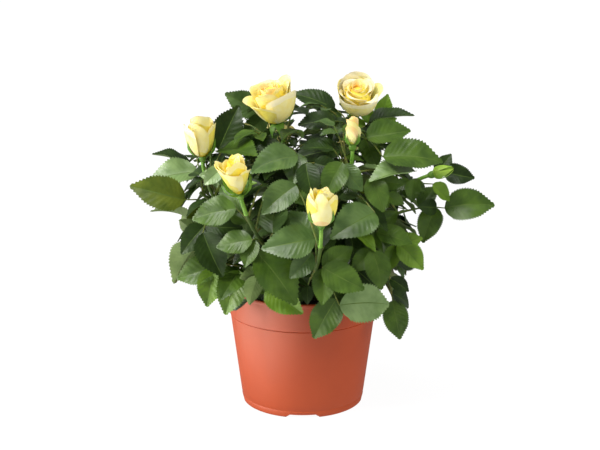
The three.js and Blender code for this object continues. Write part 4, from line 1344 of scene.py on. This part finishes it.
def sheet_faces(rows, columns):
    """Faces of a thin closed sheet: its front grid, then its back grid, which shares the outline."""
    front = np.arange(rows * columns).reshape(rows, columns)
    back = front.copy()
    back[1:-1, 1:-1] = np.arange((rows - 2) * (columns - 2)).reshape(rows - 2, -1) + rows * columns
    quads = [np.stack([grid[:-1, :-1], grid[:-1, 1:], grid[1:, 1:], grid[1:, :-1]], axis=-1).reshape(-1, 4)
             for grid in (front, back)]
    return [quads[0], quads[1][:, ::-1]]


def thin_sheet(grid, thickness):
    """Points of a closed sheet from the grid of its middle surface, (rows, columns, 3)."""
    normals = np.cross(np.gradient(grid, axis=1), np.gradient(grid, axis=0))
    normals /= np.maximum(np.linalg.norm(normals, axis=2, keepdims=True), 1e-9)
    front, back = grid + normals * thickness / 2, grid - normals * thickness / 2
    front[0], front[-1], front[:, 0], front[:, -1] = grid[0], grid[-1], grid[:, 0], grid[:, -1]
    return np.vstack([front.reshape(-1, 3), back[1:-1, 1:-1].reshape(-1, 3)])


def in_bloom_frame(frame, radius, angle, height):
    foot, axis, across, third = frame
    flat = np.cos(angle)[..., None] * across + np.sin(angle)[..., None] * third
    return foot + height[..., None] * axis + radius[..., None] * flat


PETAL_FACES = sheet_faces(PETAL_ROWS, PETAL_COLUMNS)


def add_petal(heap, frame, half, tall, turn, ring, random):
    """One petal of a ring, with its own small differences from its neighbours."""
    u, v = np.meshgrid(np.linspace(-1, 1, PETAL_COLUMNS), np.linspace(0, 1, PETAL_ROWS))
    point = POINT_RISE * np.exp(-(u / POINT_WIDTH) ** 2)
    climb = v * (1 - ring.drop * np.abs(u) ** SHOULDER_POWER + point)
    profile = np.stack([ring.outs, ring.ups], axis=1) * random.uniform(*PETAL_SIZES)
    place = bezier(profile, np.minimum(climb, 1.02))
    radius, height = place[..., 0] * half, place[..., 1] * tall
    lip = np.clip((climb - LIP_START) / LIP_LENGTH, 0, 1.1)
    curl = ring.curl * random.uniform(*CURL_SHARES) * half
    radius = radius + curl * lip ** 2 + ring.tuck * half * u * v + ring.roll * half * np.abs(u) ** 4 * v
    height = height - LIP_DROP * curl * lip ** 3
    phase = random.uniform(0, math.tau, 2)
    wave = ring.wave * half * v ** 3
    radius = np.maximum(radius + wave * np.sin(RADIUS_WAVES * u + phase[0]), LEAST_RADIUS)
    height = height + wave * np.sin(HEIGHT_WAVES * u + phase[1])
    belly = FOOT_SPREAD + BELLY_SPREAD * np.sin(math.pi * np.minimum(v * BELLY_RISE, 1))
    grid = in_bloom_frame(frame, radius, turn + u * math.radians(ring.spread) * belly, height)
    bands = np.repeat([TONE[name] for name in ring.tones.split()], BAND_ROWS)
    slots = np.repeat(bands, PETAL_COLUMNS - 1)
    heap.add(thin_sheet(grid, PETAL_THICKNESS), PETAL_FACES, [slots, slots])


# A ring of alike petals: tones from foot to lip, count, turn and spread in degrees, how far the corners of a
# petal's profile stand out and up, as shares of the bloom's half width and height, and how the petal is bent
RING_VALUES = "tones count turn spread outs ups curl drop tuck roll wave"
Ring = namedtuple("Ring", RING_VALUES, defaults=(0.05, 0.0, 0.03))

# Upright blooms have turn 0 on the right, 90 at the back and 270 at the front
HEART_LAYERS = (
    Ring("gold yellow cream", 4, 50, 64, (0.1, 0.5, 0.6, 0.44), (0.05, 0.1, 0.6, 0.86), 0.14, 0.24),
    Ring("gold peach peach", 4, 15, 74, (0.06, 0.36, 0.42, 0.3), (0.05, 0.2, 0.6, 0.86), 0.1, 0.2),
    Ring("orange orange peach", 3, 60, 95, (0.03, 0.2, 0.26, 0.16), (0.05, 0.2, 0.6, 0.84), 0.07, 0.18),
)
OPEN_LAYERS = (
    Ring("lime cream cream", 5, 20, 50, (0.1, 0.7, 1.02, 0.96), (0, 0.02, 0.45, 0.8), 0.2, 0.26, roll=0.05,
          wave=0.05),
    Ring("yellow cream pale", 5, 56, 52, (0.1, 0.62, 0.86, 0.76), (0.02, 0.04, 0.55, 0.88), 0.2, 0.28,
          wave=0.04),
    *HEART_LAYERS,
)
TOP_LAYERS = (
    Ring("lime cream pale", 1, 310, 62, (0.08, 0.68, 1.04, 0.93), (0, 0, 0.4, 0.72), 0.1, 0.14, tuck=0.1,
          wave=0.02),
    Ring("gold yellow cream", 1, 232, 50, (0.08, 0.64, 0.84, 0.9), (0, 0.02, 0.34, 0.64), 0.16, 0.26),
    Ring("yellow cream cream", 1, 172, 54, (0.08, 0.62, 0.9, 0.98), (0, 0.02, 0.4, 0.7), 0.2, 0.3),
    Ring("yellow cream pale", 1, 104, 58, (0.08, 0.6, 0.94, 0.88), (0, 0.04, 0.5, 0.92), 0.14, 0.3),
    Ring("lime cream cream", 1, 34, 56, (0.08, 0.6, 0.96, 0.88), (0, 0.03, 0.5, 0.92), 0.12, 0.34),
    Ring("gold yellow cream", 1, 262, 52, (0.1, 0.5, 0.84, 0.76), (0.02, 0.06, 0.5, 0.74), 0.16, 0.24),
    Ring("gold cream cream", 3, 20, 58, (0.1, 0.55, 0.82, 0.72), (0.02, 0.06, 0.55, 0.9), 0.16, 0.26,
          wave=0.04),
    *HEART_LAYERS,
)
# The right-hand bloom looks forward, so its turn 0 is at the back, 90 on the left and 180 at the front
RIGHT_LAYERS = (
    Ring("cream cream pale", 1, 176, 84, (0.08, 0.74, 1, 0.94), (0, -0.02, 0.4, 0.76), 0.06, 0.12,
          wave=0.02),
    Ring("yellow lime cream", 1, 280, 40, (0.08, 0.8, 1, 1.04), (0, 0.02, 0.5, 0.78), 0.18, 0.36),
    Ring("yellow cream pale", 1, 350, 62, (0.08, 0.74, 0.9, 0.92), (0, 0.02, 0.5, 0.86), 0.1, 0.22),
    Ring("lime lime cream", 1, 74, 62, (0.08, 0.74, 0.88, 0.88), (0, 0, 0.45, 0.86), 0.08, 0.26),
    Ring("yellow cream pale", 1, 126, 64, (0.1, 0.6, 0.78, 0.77), (0.02, 0.04, 0.5, 0.96), 0.18, 0.3,
          tuck=0.12),
    Ring("yellow cream pale", 1, 226, 54, (0.1, 0.6, 0.76, 0.74), (0.02, 0.04, 0.5, 0.9), 0.26, 0.3,
          tuck=0.16),
    Ring("yellow cream pale", 1, 300, 56, (0.1, 0.56, 0.74, 0.74), (0.02, 0.04, 0.5, 0.9), 0.16, 0.24,
          tuck=0.16),
    Ring("yellow cream pale", 1, 24, 62, (0.1, 0.5, 0.7, 0.72), (0.02, 0.04, 0.5, 0.9), 0.1, 0.2, tuck=0.16),
    Ring("cream cream pale", 3, 150, 76, (0.1, 0.46, 0.54, 0.5), (0.05, 0.1, 0.6, 0.94), 0.24, 0.22,
          tuck=0.16),
    Ring("orange peach cream", 2, 120, 104, (0.06, 0.34, 0.38, 0.32), (0.05, 0.15, 0.6, 0.98), 0.14, 0.16,
          tuck=0.1),
    Ring("orange orange peach", 2, 20, 120, (0.03, 0.2, 0.22, 0.17), (0.05, 0.2, 0.6, 0.96), 0.06, 0.14),
)
BUD_HEART = (
    Ring("gold yellow cream", 3, 30, 72, (0.1, 0.42, 0.56, 0.46), (0.04, 0.06, 0.6, 0.92), 0.1, 0.24,
          wave=0.06),
    Ring("gold gold yellow", 3, 0, 95, (0.06, 0.3, 0.34, 0.2), (0.05, 0.1, 0.6, 0.9), 0.06, 0.2, wave=0.05),
)
BUD_LAYERS = (
    Ring("yellow cream cream", 4, -60, 54, (0.1, 0.66, 0.95, 0.88), (0.01, 0.06, 0.45, 0.78), 0.18, 0.34,
          roll=0.05, wave=0.05),
    Ring("gold yellow cream", 3, -15, 62, (0.1, 0.6, 0.8, 0.66), (0.02, 0.06, 0.5, 0.9), 0.14, 0.3,
          wave=0.05),
    *BUD_HEART,
)
LEFT_BUD_LAYERS = (
    Ring("gold yellow cream", 1, 276, 56, (0.1, 0.62, 0.66, 0.62), (0, 0.02, 0.5, 1), 0.09, 0.05, roll=0.04),
    Ring("cream cream pale", 1, 206, 54, (0.08, 0.82, 0.98, 0.96), (0, 0.02, 0.4, 0.78), 0.04, 0.1,
          roll=0.04, wave=0.01),
    Ring("gold yellow cream", 1, 342, 44, (0.08, 0.7, 0.88, 0.86), (0, 0.03, 0.5, 0.86), 0.1, 0.2,
          wave=0.01),
    Ring("yellow cream cream", 2, 60, 66, (0.08, 0.66, 0.84, 0.74), (0, 0.04, 0.5, 0.86), 0.12, 0.26),
    Ring("gold gold yellow", 1, 236, 44, (0.1, 0.54, 0.62, 0.6), (0, 0.03, 0.5, 0.86), 0.04, 0.2),
    *BUD_HEART,
)
MIDDLE_BUD_LAYERS = (
    Ring("gold cream cream", 1, 250, 62, (0.08, 0.4, 0.8, 0.84), (0, 0.1, 0.45, 0.72), 0.08, 0.16,
          tuck=0.1, wave=0.05),
    Ring("gold yellow cream", 1, 322, 50, (0.08, 0.4, 0.8, 0.86), (0, 0.1, 0.45, 0.7), 0.2, 0.22, wave=0.06),
    Ring("gold yellow cream", 1, 186, 54, (0.08, 0.42, 0.8, 0.84), (0, 0.1, 0.5, 0.84), 0.1, 0.2, wave=0.06),
    Ring("gold yellow cream", 3, 60, 62, (0.08, 0.4, 0.76, 0.78), (0, 0.1, 0.55, 0.92), 0.1, 0.2, wave=0.08),
    Ring("gold yellow yellow", 2, 255, 60, (0.08, 0.3, 0.6, 0.62), (0, 0.1, 0.5, 0.84), 0.12, 0.26,
          wave=0.1),
    *BUD_HEART,
)
FRONT_BUD_LAYERS = (
    Ring("peach cream cream", 1, 268, 44, (0.4, 1.06, 1.06, 0.66), (0, 0.02, 0.6, 0.86), 0.0, 0.34,
          wave=0.01),
    Ring("gold yellow cream", 1, 206, 52, (0.08, 0.92, 1.08, 0.78), (0, 0.04, 0.56, 0.84), 0.03, 0.24,
          wave=0.05),
    Ring("gold yellow cream", 1, 332, 54, (0.08, 0.92, 1.1, 0.8), (0, 0.04, 0.56, 0.8), 0.05, 0.24,
          wave=0.05),
    Ring("gold yellow cream", 3, 60, 62, (0.08, 0.8, 0.92, 0.56), (0, 0.06, 0.56, 0.98), 0.06, 0.24,
          wave=0.08),
    *BUD_HEART,
)
SLIM_LAYERS = (
    Ring("peach cream cream", 1, 300, 84, (0.1, 0.8, 1, 0.5), (0, 0.1, 0.42, 0.84), 0.3, 0.36, tuck=0.24,
          wave=0.08),
    Ring("yellow cream peach", 1, 225, 70, (0.1, 0.8, 0.98, 0.7), (0, 0.1, 0.4, 0.78), 0.34, 0.3, tuck=0.2,
          wave=0.08),
    Ring("gold peach cream", 2, 60, 84, (0.1, 0.75, 0.86, 0.7), (0, 0.1, 0.5, 1.1), 0.3, 0.3, tuck=0.16,
          wave=0.1),
    Ring("gold yellow peach", 3, 30, 100, (0.1, 0.5, 0.6, 0.4), (0.02, 0.1, 0.6, 1.08), 0.24, 0.26,
          tuck=0.2, wave=0.1),
)
BLOOM_LAYERS = {
    "top_bloom": TOP_LAYERS, "right_bloom": RIGHT_LAYERS, "back_bloom": OPEN_LAYERS,
    "left_bud": LEFT_BUD_LAYERS, "middle_bud": MIDDLE_BUD_LAYERS, "front_bud": FRONT_BUD_LAYERS,
    "small_bud": SLIM_LAYERS,
}
BLOOM_LEANS = {"right_bloom": (0.07, 0.1)}
SEPAL_ROWS = 12
SEPAL_COLUMNS = 5
SEPAL_THICKNESS = 0.45
SEPAL_FACES = sheet_faces(SEPAL_ROWS, SEPAL_COLUMNS)


def add_sepal(heap, frame, angle, profile, width, curl_turn, slot):
    """A narrow sepal along a curve of radius and height, its tip turned a little round the bloom."""
    v = np.linspace(0, 1, SEPAL_ROWS)[:, None]
    e = np.linspace(-1, 1, SEPAL_COLUMNS)[None]
    place = bezier(np.array(profile), v[:, 0])
    wide = width * (0.42 + 0.58 * np.sin(math.pi * np.minimum(v * 1.15, 1))) * (1 - v ** 3) + 0.15
    radius = place[:, :1] + 0.18 * wide * e ** 2
    spin = angle + curl_turn * v ** 2 + e * wide / np.maximum(place[:, :1], 2.0)
    grid = in_bloom_frame(frame, radius, spin, place[:, 1:] + 0 * e)
    heap.add(thin_sheet(grid, SEPAL_THICKNESS), SEPAL_FACES, slot)


def add_hip(heap, shoot):
    """The round hip under the calyx, in the sepals' green."""
    foot, axis, _, _ = shoot.bloom_frame()
    heights = np.linspace(-HIP_HEIGHT - 1.2, 1.2, 12)
    swell = np.sin(math.pi * np.clip((heights + HIP_HEIGHT + 1.2) / (HIP_HEIGHT + 3.4), 0, 1)) ** 0.7
    radii = 1.25 + (HIP_RADIUS - 1.1) * swell
    heap.add(*tube(foot + heights[:, None] * axis, radii, 14))


# Radius and height of a sepal's foot and of three more corners of its curve. The foot and the next height
# are in millimetres. Other radii are shares of the bloom's half width, and other heights of its height
SEPAL_SHAPES = {
    "hugging": (1.6, -0.4, 0.75, 0.0, 0.98, 0.22, 1, 0.46),
    "spread": (1.6, -0.6, 0.7, -0.6, 1.1, 0.05, 1.35, 0.3),
    "fallen": (1.6, -0.8, 0.5, 0.6, 0.8, -0.1, 0.72, -0.36),
    "closed": (1.4, -0.2, 1.5, 0.1, 1.25, 0.7, 0.2, 1),
}
OPEN_SEPALS = ((15, "spread"), (85, "fallen"), (150, "spread"), (225, "fallen"), (285, "fallen"))
BUD_SEPALS = tuple((angle, "hugging") for angle in (328, 35, 95, 150, 213))
CLOSED_SEPALS = tuple((72 * i + 30, "closed") for i in range(5))
SEPAL_WIDTH = 3.4
SLIM_SEPAL_WIDTH = 3.0
SLIM_BLOOM = 15
SEPAL_STRAY = 6
SEPAL_CURL = 0.3
PETAL_STRAY = 9
BLOOM_SEED = 500


def sepal_profile(shape, half, tall):
    foot, foot_height, low, low_height, middle, middle_height, tip, tip_height = SEPAL_SHAPES[shape]
    return ((foot, foot_height), (half * low, low_height), (half * middle, tall * middle_height),
            (half * tip, tall * tip_height))


def add_core(heap, frame, half, tall):
    """A closed heart that fills the middle of the bloom under its inner petals."""
    heights = np.linspace(0.5, tall * 0.78, 16)
    radii = half * (0.05 + 0.6 * np.sin(math.pi * np.clip(heights / tall / 0.84, 0, 1)) ** 0.8)
    heap.add(*tube(frame[0] + heights[:, None] * frame[1], radii, 20), TONE["yellow"])


def add_green_bud(heap, frame, half, tall):
    """The closed body of a bud that shows no petals yet."""
    heights = np.linspace(0.3, tall * 0.93, 14)
    shares = (heights - 0.3) / (tall * 0.93)
    radii = half * 0.86 * np.sin(math.pi * np.clip(shares * 0.86 + 0.12, 0, 1)) ** 0.8 + 0.1
    heap.add(*tube(frame[0] + heights[:, None] * frame[1], radii, 18))


def leaning(frame, across_share, third_share):
    """A bloom frame whose higher petals stand ever further to one side."""
    foot, axis, across, third = frame
    return foot, axis + across_share * across + third_share * third, across, third


def make_bloom(number, shoot):
    random = np.random.default_rng(BLOOM_SEED + number)
    frame = leaning(shoot.bloom_frame(), *BLOOM_LEANS.get(shoot.name, (0, 0)))
    wide, tall = shoot.size
    green = shoot.name == "right_bud"
    petals, calyx = Heap(), Heap()
    if green:
        add_green_bud(petals, frame, wide / 2, tall)
        make_piece(f"petals_{shoot.name}", petals, CALYX_MATERIALS[1:], f"bloom_{shoot.name}")
        sepals = CLOSED_SEPALS
    else:
        add_core(petals, frame, wide / 2, tall)
        for ring in BLOOM_LAYERS.get(shoot.name, BUD_LAYERS):
            for i in range(ring.count):
                stray = random.uniform(-PETAL_STRAY, PETAL_STRAY) if ring.count > 1 else 0
                turn = math.radians(ring.turn + 360 * i / ring.count + stray)
                add_petal(petals, frame, wide / 2, tall, turn, ring, random)
        make_piece(f"petals_{shoot.name}", petals, PETAL_MATERIALS, f"bloom_{shoot.name}", 70)
        sepals = OPEN_SEPALS if shoot.bloom == "open" else BUD_SEPALS
    add_hip(calyx, shoot)
    width = SLIM_SEPAL_WIDTH if wide < SLIM_BLOOM else SEPAL_WIDTH
    for angle, shape in sepals:
        angle = math.radians(angle + random.uniform(-SEPAL_STRAY, SEPAL_STRAY))
        profile = sepal_profile(shape, min(wide, WIDEST_CALYX) / 2, tall)
        curl_turn = random.uniform(-SEPAL_CURL, SEPAL_CURL)
        add_sepal(calyx, frame, angle, profile, width, curl_turn, int(green))
    make_piece(f"calyx_{shoot.name}", calyx, CALYX_MATERIALS, f"foliage_{shoot.name}", 70)


# Foliage, with how often each tone is dealt to the leaves that have none in the table

TONE_SHARES = (0.5, 0.26, 0.05, 0.05, 0.04, 0.1)


def make_foliage(number, shoot):
    random = np.random.default_rng(100 + number)
    blades_heap, twigs_heap = Heap(), Heap()
    add_shoot(twigs_heap, shoot)
    for leaf in leaves:
        if leaf.number == number:
            dealt = str(random.choice(LEAF_TONES, p=TONE_SHARES))
            add_rachis(twigs_heap, leaf)
            add_blades(blades_heap, leaf, leaf.tones or [dealt], random)
    make_piece(f"leaves_{shoot.name}", blades_heap, LEAF_MATERIALS, f"foliage_{shoot.name}")
    make_piece(f"twigs_{shoot.name}", twigs_heap, TWIG_MATERIALS, f"foliage_{shoot.name}")


make_pot()
make_soil()
make_stems()
for number, shoot in enumerate(SHOOT_LIST):
    make_foliage(number, shoot)
    if shoot.bloom:
        make_bloom(number, shoot)

# Stage, light and camera

FOCAL = 1270
FRAME_WIDTH = 600
SENSOR = 36
EYE = np.array([-2.2, -983.0, 390.0])
PITCH = 14
PAPER_GLOW = 0.96
SKY_STRENGTH = 0.26
SHEEN_COLOUR = (1.0, 0.95, 0.84)

floor = bpy.data.meshes.new("floor")
floor.from_pydata([(-6, -6, 0), (6, -6, 0), (6, 6, 0), (-6, 6, 0)], [], [(0, 1, 2, 3)])
paper = material("floor_paper", (0.06, 0.06, 0.06), (0.07, 0.07, 0.07), 0.9, 0.1, 3, 0.02)
set_sockets(paper.node_tree.nodes["Principled BSDF"],
            {"Emission Color": (1, 1, 1, 1), "Emission Strength": PAPER_GLOW})
floor.materials.append(paper)
floor_piece = add_object("floor", floor)
floor_piece.visible_glossy = False

world = bpy.data.worlds.new("studio")
bpy.context.scene.world = world
world.use_nodes = True
set_sockets(world.node_tree.nodes["Background"], {"Color": (0.98, 0.99, 1.0, 1), "Strength": SKY_STRENGTH})
bpy.context.scene.view_settings.view_transform = "Standard"


def add_light(name, kind, energy, colour, way, tilt):
    """A lamp that looks at the pot's axis from a way round it, tipped by an angle in radians."""
    lamp = bpy.data.lights.new(name, kind)
    lamp.energy, lamp.color = energy, colour
    holder = add_object(name, lamp)
    holder.rotation_euler = (tilt, 0, math.atan2(way[1], way[0]) + math.pi / 2)
    return holder


def add_sun(name, way, strength, spread, colour):
    """A soft even light that comes from the direction given."""
    way = unit(np.array(way, dtype=float))
    holder = add_light(name, "SUN", strength, colour, way, math.acos(way[2]))
    holder.data.angle = math.radians(spread)
    return holder


def add_panel(name, place, size, energy, tilt, colour=(1, 1, 1)):
    """A soft light box left of the plant; a tilt of 90 degrees faces it, and one of 180 faces up."""
    holder = add_light(name, "AREA", energy, colour, place, math.radians(tilt))
    holder.location = place
    holder.data.shape, holder.data.size, holder.data.size_y = "RECTANGLE", *size
    return holder


add_sun("key", (-0.55, -0.45, 0.85), 2.0, 18, (1.0, 0.985, 0.955))
add_sun("top", (-0.05, -0.15, 1.0), 1.15, 24, (1.0, 0.99, 0.97))
add_sun("fill", (0.8, -0.4, 0.5), 1.0, 40, (1.0, 0.98, 0.95)).visible_glossy = False
add_panel("panel", (-1.5, -0.3, 0.56), (1.2, 1.1), 26, 80)
for sheen in (add_panel("side_sheen", (-1.25, -0.45, 0.26), (0.8, 0.5), 12, 90, SHEEN_COLOUR),
              add_panel("low_sheen", (-0.24, -0.14, 0.004), (0.34, 0.32), 1.1, 180, SHEEN_COLOUR)):
    sheen.visible_diffuse = False
    sheen.visible_camera = False

lens = bpy.data.cameras.new("camera")
lens.lens = SENSOR * FOCAL / FRAME_WIDTH
lens.sensor_width = SENSOR
camera = add_object("camera", lens)
camera.location = EYE * MM + AXIS
camera.rotation_euler = (math.radians(90 - PITCH), 0, 0)
bpy.context.scene.camera = camera
